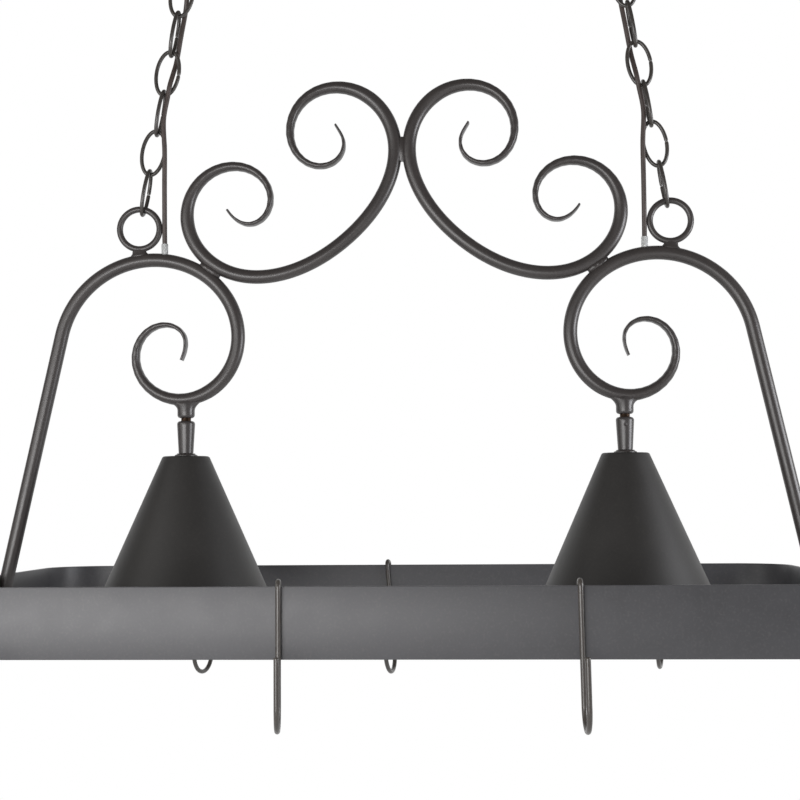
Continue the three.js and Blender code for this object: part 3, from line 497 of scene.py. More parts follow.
def ferrule_grid():
    """A turned boss whose top rows spread along the tube. X grows by the fillet's share times cos a
    cubed. Y grows by a fifth of it times sin a cubed, less 0.24 of it times sin a, so that the boss
    narrows across the tube. The rows rise with the curl's underside, a circle about its lowest
    point."""
    body = [(0, ferrule_low + 8), (5.1, ferrule_low + 8), (5.1, ferrule_low)]
    body += arc(ferrule_foot - 3.0, ferrule_low + 3.0, 3.0, -80, -5)
    t = np.radians(np.linspace(0, 86, 12))
    rise = curl_under - 4.5 + fillet_high * np.sin(t)
    rows = body + [(ferrule_foot, z) for z in rise]
    rows += [(ferrule_foot - 1, curl_under + 4.5), (0, curl_under + 4.5)]
    grow = np.zeros(len(rows))
    grow[len(body):-2] = fillet_wide * (1 - np.cos(t))
    grow[-2] = 8.6  # hidden in the tube
    a = 2 * np.pi * np.arange(64) / 64
    grid = turned(rows)
    grid[..., 0] += grow[:, None] * np.cos(a) ** 3
    grid[..., 1] += grow[:, None] * np.sin(a) ** 3 / 5 - 0.24 * grow[:, None] * np.sin(a)
    off = grid[..., 0] + lamp_x - curl_lowest
    lifted = curl_radius - np.sqrt(curl_radius ** 2 - off ** 2)
    grid[..., 2] += grow[:, None] / fillet_wide * lifted
    return grid + np.array([lamp_x, 0, 0])


grey_paint = satin_paint("satin lacquer on turned steel", "#343131", "#403d3d", "#4b4541", 0.34)
for side, sign in sides:
    piece(f"curl_ferrule_{side}", [skin(handed(ferrule_grid(), sign))], grey_paint, "rack",
          f"ferrule_{side}", sharp=50)

# ---- the ball nipples ----------------------------------------------------------------------------
# Turned brass, screwed into the ferrule: a short neck and a ball that the swivel turns on. Only a
# dark sliver of it shows in the groove. It is left unpainted, and has tarnished to a dull brown.

ball_z = ferrule_low - 9.0
# Turned brass gone brown: a warm dull metal, darker in clouds 3 mm across, with a satin gloss.
brass = clouded("tarnished brass", 330.0, 4.0, ("#382b22", "#54453a"), (0.3, 0.5), Metallic=1.0)
nipple = [(2.2, ferrule_low + 7.7), (4.8, ferrule_low + 7.7), (4.8, ferrule_low),
          (5.0, ferrule_low - 0.4)] + arc(0, ball_z, 6.4, 38.6, -69.9, 14)
for side, sign in sides:
    piece(f"brass_ball_{side}", [skin(turned(nipple, 48, sign * lamp_x), looped=True)], brass,
          "rack", f"ball_nipple_{side}")

# ---- the swivels ---------------------------------------------------------------------------------
# A turned steel barrel that narrows downwards, with a rounded shoulder at the mouth. The right one
# has a small dent near the top. It holds the ball above and the lampholder's threaded stem below.

swivel_low = shade_top + 3.2
mouth_z = ball_z + 2
dent_depths, dent_reach = {"left": 0.0, "right": 0.6}, 1.6


def swivel_grid(x, depth):
    """The barrel's profile turned about its axis, less a dent: its depth times 1 less the square of
    the distance over its reach, to the power 0.6. The socket leaves 0.3 mm round the ball."""
    barrel = [(5.1, swivel_low), (7.4, swivel_low)]
    barrel += [(7.4 + 1.6 * t, swivel_low + (mouth_z - swivel_low) * t)
               for t in np.linspace(0.02, 1, 44)]
    barrel += arc(6.0, ball_z + 3.0, 3.0, 0, 82, 8)
    socket = arc(0, ball_z, 6.7, 26, -65, 12)
    grid = turned(barrel + socket + [(2.6, swivel_low + 11.3), (5.1, swivel_low + 11.3)], 112)
    radius = np.hypot(grid[..., 0], grid[..., 1])
    angle = np.arctan2(grid[..., 1], grid[..., 0]) + np.pi / 2
    off = np.hypot(angle * radius, grid[..., 2] - (ball_z - 1.5)) / dent_reach
    outside = (np.arange(len(grid)) < len(barrel))[:, None]
    dent = depth * np.clip(1 - off ** 2, 0, 1) ** 0.6 * outside
    grid[..., :2] *= (1 - dent / radius)[..., None]
    return grid + np.array([x, 0, 0])


for side, sign in sides:
    barrel = swivel_grid(sign * lamp_x, dent_depths[side])
    piece(f"swivel_barrel_{side}", [skin(barrel, looped=True)], grey_paint, f"lamp_{side}",
          f"swivel_{side}")

# ---- the check rings -----------------------------------------------------------------------------
# A flat steel washer with a raised middle, between the swivel and the shade. The lampholder's stem
# passes through it and holds it down on the shade.

check_low = shade_top + 0.3
check = [(5.1, check_low), (11.4, check_low)] + arc(10.9, check_low + 0.6, 0.5, 0, 80, 3)
check += [(9.7, check_low + 1.4), (9.1, check_low + 2.4)]
check += arc(8.6, check_low + 2.1, 0.5, 40, 90, 3) + [(5.1, check_low + 2.6)]
for side, sign in sides:
    piece(f"shade_washer_{side}", [skin(turned(check, 64, sign * lamp_x), looped=True)], dark_paint,
          f"lamp_{side}", f"check_ring_{side}")

# ---- the shades ----------------------------------------------------------------------------------
# A cone spun from 1.2 mm sheet steel, with a flat top, a rounded shoulder and a rim that is only
# deburred. It is sprayed darker and flatter than the rack.

shade_radius_top, shade_radius_rim, sheet = 23.3, 86.5, 1.2
shade_edge = 3.0


def shade_profile():
    """Flat top, shoulder arc touching both, straight cone to the rim, and the same line back inside
    the sheet."""
    slope = np.arctan2(shade_radius_rim - shade_radius_top, shade_top - shade_rim)
    turn = 90 - np.degrees(slope)
    centre = shade_radius_top - shade_edge * np.tan(np.radians(turn) / 2)
    rim = np.array([shade_radius_rim, shade_rim])
    wall = sheet / np.cos(slope)
    outer = arc(centre, shade_top - shade_edge, shade_edge, 90, 90 - turn, 10)
    inner = arc(centre, shade_top - shade_edge, shade_edge - sheet, 90 - turn, 90, 8)
    cone = [tuple(np.array(outer[-1]) * (1 - t) + (rim + [0, 0.4]) * t)
            for t in np.linspace(0.05, 1, 20)]
    back = [tuple((rim - [wall, 0]) * (1 - t) + np.array(inner[0]) * t)
            for t in np.linspace(0.003, 0.95, 20)]
    edge = [(rim[0] - 0.35, rim[1]), (rim[0] - wall + 0.35, rim[1])]
    return [(5.1, shade_top)] + outer + cone + edge + back + inner + [(5.1, shade_top - sheet)]


shade_paint = satin_paint("flat lacquer on spun steel", "#1d1c1b", "#252322", "#2e2c29", 0.52)
for side, sign in sides:
    shade = turned(shade_profile(), 160, sign * lamp_x)
    piece(f"spun_shade_{side}", [skin(shade, looped=True)], shade_paint, f"lamp_{side}",
          f"shade_{side}", sharp=50)

# ---- the lampholders -----------------------------------------------------------------------------
# Moulded black phenolic with grip ribs and a skirt, on a threaded stem that passes through the
# shade and the washer into the swivel and clamps them.

holder_top = shade_top - 1.5
holder_low = holder_top - 54


def holder_grid(x):
    """The holder's profile turned about its axis. Its barrel swells by 0.5 mm times cos 24 a
    between smooth ends: 24 ribs round."""
    outside = [(2.2, swivel_low + 11), (4.8, swivel_low + 11), (4.8, holder_top),
               (11.5, holder_top)] + arc(12.5, holder_top - 4.5, 4.5, 88, 4, 6)
    outside += [(17.0, z) for z in np.linspace(holder_top - 6, holder_low + 15, 8)]
    ribbed = np.zeros(len(outside))
    ribbed[-7:-1] = 1
    skirt = [(17.0, holder_low + 13.5), (18.6, holder_low + 12), (19.0, holder_low + 11),
             (19.0, holder_low + 2), (18.4, holder_low + 0.6), (17.4, holder_low),
             (14.0, holder_low), (14.0, holder_low + 38), (2.2, holder_low + 38)]
    grid = turned(outside + skirt, 144)
    a = 2 * np.pi * np.arange(144) / 144
    ribs = np.concatenate([ribbed, np.zeros(len(skirt))])[:, None] * 0.5 * np.cos(24 * a)[None]
    grid[..., 0] += ribs * np.cos(a)
    grid[..., 1] += ribs * np.sin(a)
    return grid + np.array([x, 0, 0])


# Moulded phenolic: near black, with a dull moulded gloss and faint flow clouds 5 mm across.
black_phenolic = clouded("black phenolic", 200.0, 3.0, ("#161514", "#24221f"), (0.34, 0.5), IOR=1.6)
for side, sign in sides:
    piece(f"ribbed_holder_{side}", [skin(holder_grid(sign * lamp_x), looped=True)], black_phenolic,
          f"lamp_{side}", f"lampholder_{side}", sharp=45)

# ---- the bulbs -----------------------------------------------------------------------------------
# A round bulb of frosted glass on a rolled brass screw cap, which is screwed into the lampholder.
# The globe stays inside the shade.

bulb_top = holder_low + 37
globe_radius = 29.0
globe_z = bulb_top - 96 + globe_radius


def bulb_glass():
    """The profile of a globe, an arc, and of its neck, a curve of the second degree in t that ends
    just inside the cap."""
    neck = [(0, holder_low + 6), (12.2, holder_low + 6), (12.4, holder_low - 2)]
    meet = np.radians(48)
    top = np.array([globe_radius * np.cos(meet), globe_z + globe_radius * np.sin(meet)])
    t = np.linspace(0.1, 0.95, 10)[:, None]
    start, mid = np.array([12.4, holder_low - 2]), np.array([12.9, holder_low - 8])
    curve = (1 - t) ** 2 * start + 2 * t * (1 - t) * mid + t ** 2 * top
    return neck + [tuple(row) for row in curve] + arc(0, globe_z, globe_radius, 48, -90, 24)


def screw_cap():
    """A cap with a rolled round thread, drawn as rings: radius 12.75 mm plus 0.35 mm times the
    cosine of the height in turns of 3.6 mm, between the rim and the contact."""
    z = np.linspace(holder_low - 2, bulb_top - 7, 80)
    radius = 12.75 + 0.35 * np.cos((z - holder_low) / 3.6 * 2 * np.pi)
    rows = [(12.0, holder_low - 2.2)] + list(zip(radius, z))
    return rows + [(11.8, bulb_top - 5.4), (8.0, bulb_top - 2.4), (4.6, bulb_top - 1.2),
                   (4.4, bulb_top - 0.1), (0, bulb_top)]


def frosted_glass():
    """Acid-frosted glass: a milky, even white with a soft gloss and a grain of 1.1 mm, coarser than
    the real one."""
    material, tree, shader, place = finish("frosted glass", IOR=1.5)
    grain = node(tree, "TexNoise", {"Vector": place, "Scale": 900.0, "Detail": 2.0})
    colour = node(tree, "Mix", {"Factor": grain.outputs["Fac"], 6: linear("#e9e6dd"),
                                7: linear("#f6f3ea")}, data_type="RGBA")
    bump = node(tree, "Bump", {"Height": grain.outputs["Fac"], "Distance": 0.00008,
                               "Strength": 0.3})
    tree.links.new(colour.outputs[2], shader.inputs["Base Color"])
    tree.links.new(bump.outputs["Normal"], shader.inputs["Normal"])
    shader.inputs["Roughness"].default_value = 0.42
    shader.inputs["Subsurface Weight"].default_value = 0.25
    shader.inputs["Subsurface Scale"].default_value = 0.01
    return material


frosted = frosted_glass()
# Rolled brass, still bright, with clouds 6 mm across.
bright_brass = clouded("rolled brass cap", 160.0, 3.0, ("#b79a5c", "#a98c50"),
                       (0.3 - 0.05, 0.3 + 0.08), Metallic=1.0)
for side, sign in sides:
    piece(f"bulb_globe_{side}", [skin(turned(bulb_glass(), 72, sign * lamp_x))], frosted,
          f"bulb_{side}", f"bulb_{side}")
    piece(f"bulb_cap_{side}", [skin(turned(screw_cap(), 64, sign * lamp_x))], bright_brass,
          f"bulb_{side}", f"bulb_{side}")

# ---- the sleeves ---------------------------------------------------------------------------------
# A clear plastic tube pushed into the hole near the arch's top, where the lamp cord enters the
# steel.

sleeve_x = (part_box("sleeve_right")[0][0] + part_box("sleeve_right")[1][0]) * 500
sleeve_low = (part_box("sleeve_right")[0][2] - rack_z) * 1000
sleeve_high = (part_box("sleeve_right")[1][2] - rack_z) * 1000


def clear_plastic():
    """Clear soft PVC: half see-through, a faint cool grey, with a soft gloss that varies in clouds
    2 mm across."""
    material, tree, shader, place = finish("clear PVC", IOR=1.5)
    cloud = node(tree, "TexNoise", {"Vector": place, "Scale": 500.0, "Detail": 2.0})
    gloss = node(tree, "MapRange", {"Value": cloud.outputs["Fac"], "To Min": 0.25, "To Max": 0.4})
    tree.links.new(gloss.outputs["Result"], shader.inputs["Roughness"])
    shader.inputs["Base Color"].default_value = linear("#eef0f0")
    shader.inputs["Transmission Weight"].default_value = 0.5
    return material


clear = clear_plastic()
sleeve = [(2.8, sleeve_low), (3.4, sleeve_low), (3.4, sleeve_high - 0.3), (3.2, sleeve_high),
          (2.95, sleeve_high), (2.8, sleeve_high - 0.2)]
for side, sign in sides:
    piece(f"clear_sleeve_{side}", [skin(turned(sleeve, 40, sign * sleeve_x), looped=True)], clear,
          "rack", f"sleeve_{side}")

# ---- the chains ----------------------------------------------------------------------------------
# Seven links a side of 4 mm wire bent to an oval and left unwelded, the two ends meeting in the
# middle of one side. Every other link is turned a quarter.

link_reach, link_half_width, link_wire, link_half_gap = 23.0, 11.5, 4.0, 0.32
link_rows = 97
chain_lean = 10.0


def link_grid():
    """An oval wire in the XZ plane from the joint round to the joint again: x is the half width
    times cos t, and z the reach times sin t. The last row at each end is drawn in by 0.3 mm, as a
    cut wire's edge is."""
    gap = np.arcsin(link_half_gap / link_reach)
    t = gap + (2 * np.pi - 2 * gap) * np.linspace(0, 1, link_rows)
    x, z = link_half_width * np.cos(t), link_reach * np.sin(t)
    heading = np.degrees(np.arctan2(link_reach * np.cos(t), -link_half_width * np.sin(t)))
    path = np.stack([x, z, heading, t], 1)
    size = np.full(link_rows, link_wire / 2)
    size[[0, -1]] -= 0.3
    return bar(path, size, size, round_=16)


chain_paint = satin_paint("satin lacquer on chain", "#34312f", "#3f3b38", "#4d453e", 0.32)
link = link_grid()
for side, sign in sides:
    lean = np.radians(sign * chain_lean)
    along = np.array([-np.sin(lean), 0, np.cos(lean)])
    width = np.array([np.cos(lean), 0, np.sin(lean)])
    depth = np.array([0, 1.0, 0])
    for k in range(1, 8):
        across, through = (depth, -width) if k % 2 else (width, depth)
        low, high = (np.array(c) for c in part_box(f"chain_{side}_{k}"))
        middle = (low + high) / 2 * 1000 - [0, 0, rack_z * 1000]
        grid = (middle + link[..., 0, None] * across + link[..., 1, None] * through
                + link[..., 2, None] * along)
        piece(f"oval_link_{side}_{k}", [skin(grid)], chain_paint, f"chain_{side}",
              f"chain_{side}_{k}")

# ---- the ceiling loops ---------------------------------------------------------------------------
# A cast loop on a round boss with a hollow threaded stem. The chain's top link hangs in it, and the
# lamp cord runs up through the stem.

loop_x = (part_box("ceiling_loop_right")[0][0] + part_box("ceiling_loop_right")[1][0]) * 500
loop_low = (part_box("ceiling_loop_right")[0][2] - rack_z) * 1000
loop_z = loop_low + 15.5
boss_z = loop_z + 10.5
ceiling_z = -rack_z * 1000
loop_ring = bar(circle_path(loop_x, loop_z, 13.0, 72), 2.5, 2.5, round_=18)
boss = [(3.6, boss_z - 0.6), (5.6, boss_z - 0.6)] + arc(6.6, boss_z + 2.0, 1.9, -50, 0, 4)
boss += arc(7.5, boss_z + 8.0, 1.0, 0, 90, 4) + [(6.0, boss_z + 9.0)]
boss += [(6.0 - 0.45 * (i % 2), z)
         for i, z in enumerate(np.arange(boss_z + 10, ceiling_z - 1, 0.55))]
boss += [(5.4, ceiling_z - 0.3), (3.6, ceiling_z - 0.3)]
for side, sign in sides:
    skins = [skin(handed(loop_ring, sign), looped=True),
             skin(turned(boss, 48, sign * loop_x), looped=True)]
    piece(f"cast_loop_{side}", skins, chain_paint, "ceiling", f"ceiling_loop_{side}")

# ---- the canopies and their collars --------------------------------------------------------------
# The canopy is a dish spun from sheet, with a small flat below and an upright rim against the
# ceiling. A knurled collar nut on the loop's stem holds it up.

collar_z = boss_z + 9.3
canopy_z = collar_z + 7.3
canopy_radius, canopy_flat, canopy_wall = 63.5, 20.0, 1.2


def collar_grid(x):
    """A ring whose outer wall is knurled: radius plus 0.22 mm times cos 60 a between its two
    chamfers."""
    rows = [(6.3, collar_z), (12.8, collar_z), (13.8, collar_z + 1), (13.75, collar_z + 1.6),
            (13.75, collar_z + 5.4), (13.8, collar_z + 6), (12.8, collar_z + 7),
            (6.3, collar_z + 7)]
    grid = turned(rows, 240)
    a = 2 * np.pi * np.arange(240) / 240
    knurl = np.array([0, 0, 0, 1, 1, 0, 0, 0])[:, None] * 0.22 * np.cos(60 * a)[None]
    grid[..., 0] += knurl * np.cos(a)
    grid[..., 1] += knurl * np.sin(a)
    return grid + np.array([x, 0, 0])


def dish(inset):
    """The dish's side from its flat to the upright rim, a quarter of an ellipse, drawn in by the
    sheet."""
    a = np.radians(np.linspace(0, 90, 21))
    rise = ceiling_z - 4 - canopy_z
    return list(zip(canopy_flat + (canopy_radius - inset - canopy_flat) * np.sin(a),
                    canopy_z + inset + (rise - inset) * (1 - np.cos(a))))


canopy = [(6.3, canopy_z)] + dish(0)
canopy += [(canopy_radius, ceiling_z - 0.3), (canopy_radius - 0.3, ceiling_z),
           (canopy_radius - canopy_wall, ceiling_z)]
canopy += dish(canopy_wall)[::-1] + [(6.3, canopy_z + canopy_wall)]
for side, sign in sides:
    piece(f"knurled_collar_{side}", [skin(collar_grid(sign * loop_x), looped=True)], dark_paint,
          "ceiling", f"collar_{side}", sharp=50)
    dished = turned(canopy, 120, sign * loop_x)
    piece(f"spun_canopy_{side}", [skin(dished, looped=True)], dark_paint, "ceiling",
          f"canopy_{side}")
    # The strap under the canopy stays the solids' own, in the screws' zinc.
    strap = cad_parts[f"mounting_strap_{side}"]
    strap.data.materials.clear()
    strap.data.materials.append(zinc)

# ---- the lamp cords ------------------------------------------------------------------------------
# Round two-core cord, 5 mm, in dark brown PVC. It rises from the sleeve, passes in front of the
# second link, weaves up the chain, and runs through the loop's stem into the canopy. The rack holds
# it all the way.

cord_radius = 2.5
cord_beside = 5.6  # inwards from the chain's line
weave = 5.3  # in front of the links and behind them
lowest_link, link_step = 37.95, 41.7  # up the chain from the ring's centre, and from link to link
cord_joint = 150.0  # where its two halves meet, above the ring's centre
arch_surface = sleeve_high - 10


def along_chain(link_number, along, y):
    """A point beside the right chain: inwards from its line, at a distance along it from a link's
    middle. Links are counted from 0 at the ring."""
    sin, cos = np.sin(np.radians(chain_lean)), np.cos(np.radians(chain_lean))
    distance = lowest_link + link_step * link_number + along
    return (ring_x - distance * sin - cord_beside * cos, y,
            ring_z + distance * cos - cord_beside * sin)


def woven(points, steps=14):
    """A smooth curve through points. Between two of them it is the cubic whose end slopes come from
    three neighbouring points, with time running as the square root of the distance."""
    p = np.array(points)
    p = np.concatenate([[2 * p[0] - p[1]], p, [2 * p[-1] - p[-2]]])
    dt = np.linalg.norm(np.diff(p, axis=0), axis=1)[:, None] ** 0.5
    p0, p1, p2, p3 = p[:-3], p[1:-2], p[2:-1], p[3:]
    d0, d1, d2 = dt[:-2], dt[1:-1], dt[2:]
    m1 = ((p1 - p0) / d0 - (p2 - p0) / (d0 + d1) + (p2 - p1) / d1) * d1
    m2 = ((p2 - p1) / d1 - (p3 - p1) / (d1 + d2) + (p3 - p2) / d2) * d1
    t = (np.arange(steps) / steps)[None, :, None]
    a, b, c, d = (v[:, None] for v in (p1, p2, m1, m2))
    curve = (2 * t ** 3 - 3 * t ** 2 + 1) * a + (3 * t ** 2 - 2 * t ** 3) * b
    curve = curve + (t ** 3 - 2 * t ** 2 + t) * c + (t ** 3 - t ** 2) * d
    return np.concatenate([curve.reshape(-1, 3), p[-2:-1]])


def cord_points():
    """The cord's route on the right side, in millimetres, from inside the arch up to the stem's
    inside, 2.8 mm below the ceiling."""
    high = arch_surface + 22
    second_link = ring_z + (lowest_link + link_step) * np.cos(np.radians(chain_lean))
    front = np.array([sleeve_x - 0.6, -weave, second_link])
    rising = front + 0.45 * (np.array([sleeve_x, 0, high]) - front)
    rising[1] = -weave * 0.75
    return [(sleeve_x, 0, sleeve_low + 0.7), (sleeve_x, 0, sleeve_high), (sleeve_x, -0.7, high),
            rising, front, along_chain(2, -6.5, -weave), along_chain(2, 16.9, -weave),
            along_chain(3, -13, -weave), along_chain(3, 0, 0), along_chain(3, 13, weave),
            along_chain(4, 0, weave), along_chain(5, -13, weave), along_chain(5, 0, 0),
            along_chain(5, 13, -weave), along_chain(6, 0, -weave), along_chain(6, 16.25, -weave),
            (loop_x - 3.6, -3.4, loop_z - 0.5), (loop_x - 0.4, -0.4, loop_z + 7.5),
            (loop_x, 0, loop_z + 13), (loop_x, 0, (loop_z + 13 + ceiling_z - 2.8) / 2),
            (loop_x, 0, ceiling_z - 2.8)]


def cord_grid(path):
    """A round tube: the path's point plus radius times cos a and sin a along two directions square
    to it. The first is X less its share along the path, so the tube never twists."""
    way = np.gradient(path, axis=0)
    way /= np.linalg.norm(way, axis=1)[:, None]
    first = np.array([1.0, 0, 0]) - way[:, :1] * way
    first /= np.linalg.norm(first, axis=1)[:, None]
    second = np.cross(way, first)
    a = (2 * np.pi * np.arange(20) / 20)[None, :, None]
    return path[:, None] + cord_radius * (np.cos(a) * first[:, None] + np.sin(a) * second[:, None])


def cord_jacket():
    """Soft PVC jacket: dark brown and dull, dusty in clouds 8 mm across, with a fine grain of
    0.8 mm."""
    material, tree, shader, place = finish("brown PVC jacket", IOR=1.5)
    dust = node(tree, "TexNoise", {"Vector": place, "Scale": 120.0, "Detail": 4.0})
    colour = node(tree, "Mix", {"Factor": dust.outputs["Fac"], 6: linear("#38302d"),
                                7: linear("#504643")}, data_type="RGBA")
    grain = node(tree, "TexNoise", {"Vector": place, "Scale": 1200.0, "Detail": 1.0})
    bump = node(tree, "Bump", {"Height": grain.outputs["Fac"], "Distance": 0.0001,
                               "Strength": 0.25})
    tree.links.new(colour.outputs[2], shader.inputs["Base Color"])
    tree.links.new(bump.outputs["Normal"], shader.inputs["Normal"])
    shader.inputs["Roughness"].default_value = 0.5
    return material


jacket = cord_jacket()
cord_line = woven(cord_points())
whole_cord = cord_grid(cord_line)
split = int(np.argmin(np.abs(cord_line[:, 2] - (ring_z + cord_joint))))
for side, sign in sides:
    # Each half lists the two bodies it runs between and the heights of that span. Both lower halves
    # list the left chain, as both chains turn alike about one line. Nothing here reads these four
    # values.
    halves = (
        ("lower", whole_cord[:split + 1], "rack", "chain_left", sleeve_high + 12, ring_z + 45),
        ("upper", whole_cord[split:], f"chain_{side}", "ceiling", loop_z - 45, loop_z + 12))
    for part, rows, one, other, low, high in halves:
        half = piece(f"lamp_cord_{part}_{side}", [skin(handed(rows, sign))], jacket, None,
                     f"cord_{side}")
        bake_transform(half)

# ---- the hooks -----------------------------------------------------------------------------------
# S hooks of 4.8 mm round wire: a short leg behind the band, a tight bend over its edge, a long stem
# in front, and a wide bowl that turns up and outwards. The wire's ends are only rounded off. Each
# hook stands a little turned and leaning, as its play lets it.

# The wire is drawn 0.03 mm thinner, so that the leaning hooks stay in the solids' box.
hook_wire, hook_play, hook_drop, bowl_radius = 4.77, 0.6, 121.15, 20.0
hook_leg, hook_tip, over_z, end_round = 24.0, 56.0, -0.5, 1.2
# Along the band, the face it hangs on, the way its bowl points, and its turn and lean towards +X.
hooks = {"front_1": (-345, -240, -1, 0, 0), "front_2": (-95, -240, -1, 5.5, 0),
         "front_3": (161, -240, -1, 3, 1), "back_1": (-234, 237, -1, -19, 0),
         "back_2": (-32, 237, -1, -11, 4.5), "back_3": (272.5, 240, 1, -12, 0)}


def upright(x, heights, heading):
    """Rows of x, z, heading and length up or down one upright line."""
    z = np.array(heights)
    return np.stack([np.full(len(z), x), z, np.full(len(z), heading), 0 * z], 1)


def hook_grid(turn, lean):
    """The hook of a band whose face is x = 0, turned about the band's middle and leaned along it.
    The wire shrinks to its ends by a quarter circle."""
    stem_x = hook_play + hook_wire / 2
    over_radius = stem_x + band_thickness / 2
    bowl_z = hook_wire / 2 + bowl_radius - hook_drop
    end = np.array([0, 0.1, 0.35, 0.7, end_round])
    leg = upright(stem_x - 2 * over_radius,
                  [*(over_z - hook_leg + end), *np.linspace(5.5 - hook_leg + over_z, over_z, 8)],
                  90.0)
    over = bend(leg[-1], -1, ((0, over_radius), (180, over_radius)), step=7.5)
    stem = upright(stem_x, np.linspace(over_z, bowl_z, 24)[1:], -90.0)
    bowl = bend(stem[-1], 1, ((0, bowl_radius), (180, bowl_radius)), step=4)
    tip = upright(bowl[-1, 0], [*np.linspace(bowl_z, -hook_tip - 5, 8)[1:],
                                *(-hook_tip - end[::-1])], 90.0)
    path = np.concatenate([leg, over, stem, bowl, tip])
    size = np.full(len(path), hook_wire / 2)
    size[:5] += np.sqrt(end_round ** 2 - (end_round - end) ** 2) - end_round
    size[-5:] = size[4::-1]
    x, y, z = np.moveaxis(bar(path, size, size, round_=16), -1, 0)
    x = x + band_thickness / 2
    turn, lean = np.radians((turn, lean))
    x, y = x * np.cos(turn) - y * np.sin(turn), x * np.sin(turn) + y * np.cos(turn)
    y, z = y * np.cos(lean) - z * np.sin(lean), y * np.sin(lean) + z * np.cos(lean)
    return x - band_thickness / 2, y, z


hook_paint = satin_paint("satin lacquer on wire", "#3f3b38", "#4b4743", "#574e47", 0.32)
for name, (place, face, way, turn, lean) in hooks.items():
    x, y, z = hook_grid(turn, lean)
    grid = np.stack([place - way * y, face + way * x, z], -1)
    piece(f"s_hook_{name}", [skin(grid)], hook_paint, f"hook_{name}", f"hook_{name}")

# ---- floor, backdrop, light and camera -----------------------------------------------------------
# A plain pale room: a floor that sweeps up into a wall, three soft lamps in front and at both
# sides, and a camera at the photograph's viewing angle. They aren't part of the rack.


def sweep_grid():
    """Floor and wall in one sheet: a flat run, a quarter circle of 0.8 m, and an upright run."""
    a = np.radians(np.linspace(-90, 0, 17))
    y = np.concatenate([[-6.0], 2.2 + 0.8 * np.cos(a), [3.0]])
    z = np.concatenate([[-1.9], -1.1 + 0.8 * np.sin(a), [3.5]])
    x = np.array([-6.0, 6.0])[:, None]
    y, z = (np.broadcast_to(row, (2, len(row))) for row in (y, z))
    return np.stack([x + 0 * y, y, z], -1)


def pale_room():
    """Matt white paint that the camera, glossy and see-through rays meet as plain white, with a
    faint mottle about 0.3 m across for the other light."""
    material, tree, shader, place = finish("matt white wall paint", Roughness=0.9)
    mottle = node(tree, "TexNoise", {"Vector": place, "Scale": 3.0})
    colour = node(tree, "Mix", {"Factor": mottle.outputs["Fac"], 6: linear("#dcdcda"),
                                7: linear("#e6e6e4")}, data_type="RGBA")
    tree.links.new(colour.outputs[2], shader.inputs["Base Color"])
    rays = node(tree, "LightPath").outputs
    seen = node(tree, "Math", {0: rays["Is Camera Ray"], 1: rays["Is Glossy Ray"]},
                operation="MAXIMUM")
    seen = node(tree, "Math", {0: seen.outputs[0], 1: rays["Is Transmission Ray"]},
                operation="MAXIMUM")
    white = node(tree, "Emission", {"Color": linear("#ffffff"), "Strength": 1.0})
    both = node(tree, "MixShader", {0: seen.outputs[0], 1: shader.outputs["BSDF"],
                                    2: white.outputs[0]})
    out = next(n for n in tree.nodes if n.type == "OUTPUT_MATERIAL")
    tree.links.new(both.outputs[0], out.inputs["Surface"])
    return material


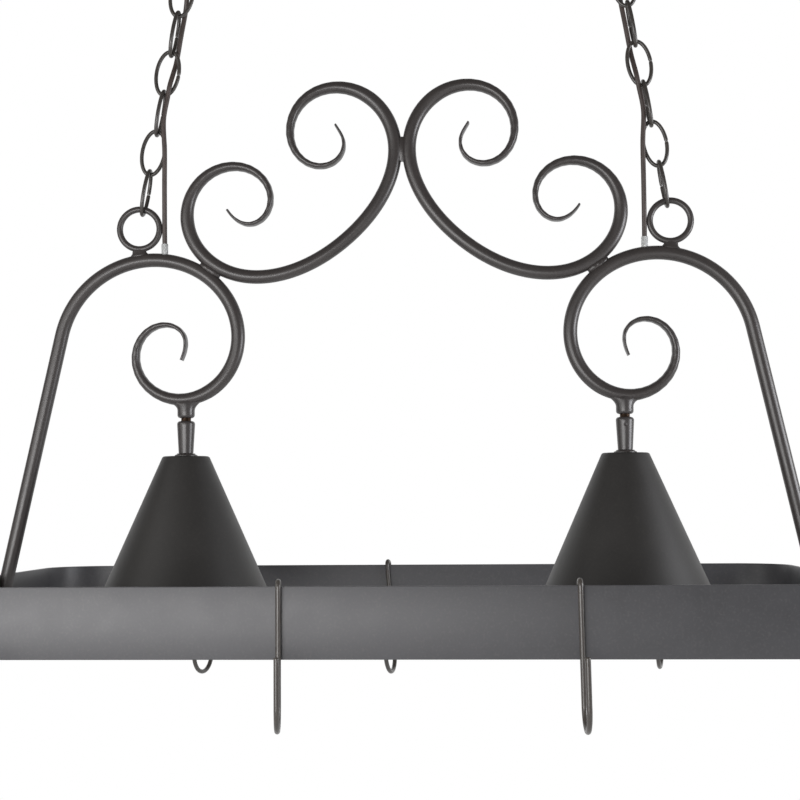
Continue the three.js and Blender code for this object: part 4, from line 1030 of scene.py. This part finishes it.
room_mesh = bpy.data.meshes.new("pale_room")
room_grid = sweep_grid()
count = room_grid.shape[1]
room_mesh.from_pydata(room_grid.reshape(-1, 3).tolist(), [],
                      [[i, count + i, count + i + 1, i + 1] for i in range(count - 1)])
room_mesh.polygons.foreach_set("use_smooth", np.ones(count - 1, bool))
room_mesh.materials.append(pale_room())
room = bpy.data.objects.new("pale_room", room_mesh)
bpy.context.scene.collection.objects.link(room)
room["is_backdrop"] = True

world = bpy.data.worlds.new("soft room light")
bpy.context.scene.world = world
world.use_nodes = True
sky = world.node_tree
sky.nodes.clear()
rays = node(sky, "LightPath").outputs
seen = node(sky, "Math", {0: rays["Is Camera Ray"], 1: rays["Is Transmission Ray"]},
            operation="MAXIMUM")
ambient = node(sky, "Background", {"Color": linear("#d9d6d2"), "Strength": 0.3})
white = node(sky, "Background", {"Color": linear("#ffffff"), "Strength": 1.0})
mixed = node(sky, "MixShader", {0: seen.outputs[0], 1: ambient.outputs[0], 2: white.outputs[0]})
node(sky, "OutputWorld", {"Surface": mixed.outputs[0]})


def soft_lamp(name, place, aim, size, watts, colour):
    """A rectangular area lamp that faces a point."""
    data = bpy.data.lights.new(name, "AREA")
    data.shape = "RECTANGLE"
    data.size, data.size_y = size
    data.energy = watts
    data.color = linear(colour)[:3]
    lamp = bpy.data.objects.new(name, data)
    lamp.location = place
    lamp.rotation_euler = (Vector(aim) - Vector(place)).to_track_quat("-Z", "Y").to_euler()
    bpy.context.scene.collection.objects.link(lamp)


soft_lamp("front softbox", (-0.7, -1.75, -0.74), (-0.1, 0, -0.6), (1.4, 0.56), 21, "#fffefe")
soft_lamp("left softbox", (-0.95, -0.66, -0.35), (-0.1, 0, -0.6), (0.8, 0.5), 2.6, "#fffefc")
soft_lamp("right softbox", (1.25, -0.3, -0.5), (0.0, 0, -0.65), (0.6, 0.5), 10, "#fafbff")

camera_place = (0.0883, -1.605, rack_z + 0.0696)
yaw, pitch, roll = np.radians((-3.28, 3.70, -0.371))
forward = np.array([np.sin(yaw) * np.cos(pitch), np.cos(yaw) * np.cos(pitch), np.sin(pitch)])
right = np.array([np.cos(yaw), -np.sin(yaw), 0])
up = np.cross(right, forward)
right, up = np.cos(roll) * right + np.sin(roll) * up, np.cos(roll) * up - np.sin(roll) * right
lens = bpy.data.cameras.new("photo_camera")
lens.lens = 72.2
lens.sensor_width = 36.0
camera = bpy.data.objects.new("photo_camera", lens)
camera.matrix_world = Matrix.Translation(camera_place) @ Matrix(
    np.stack([right, up, -forward], 1).tolist()).to_4x4()
bpy.context.scene.collection.objects.link(camera)
bpy.context.scene.camera = camera
bpy.context.scene.view_settings.view_transform = "Standard"

[[list(corner) for corner in box] for box in (cad_box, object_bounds())]
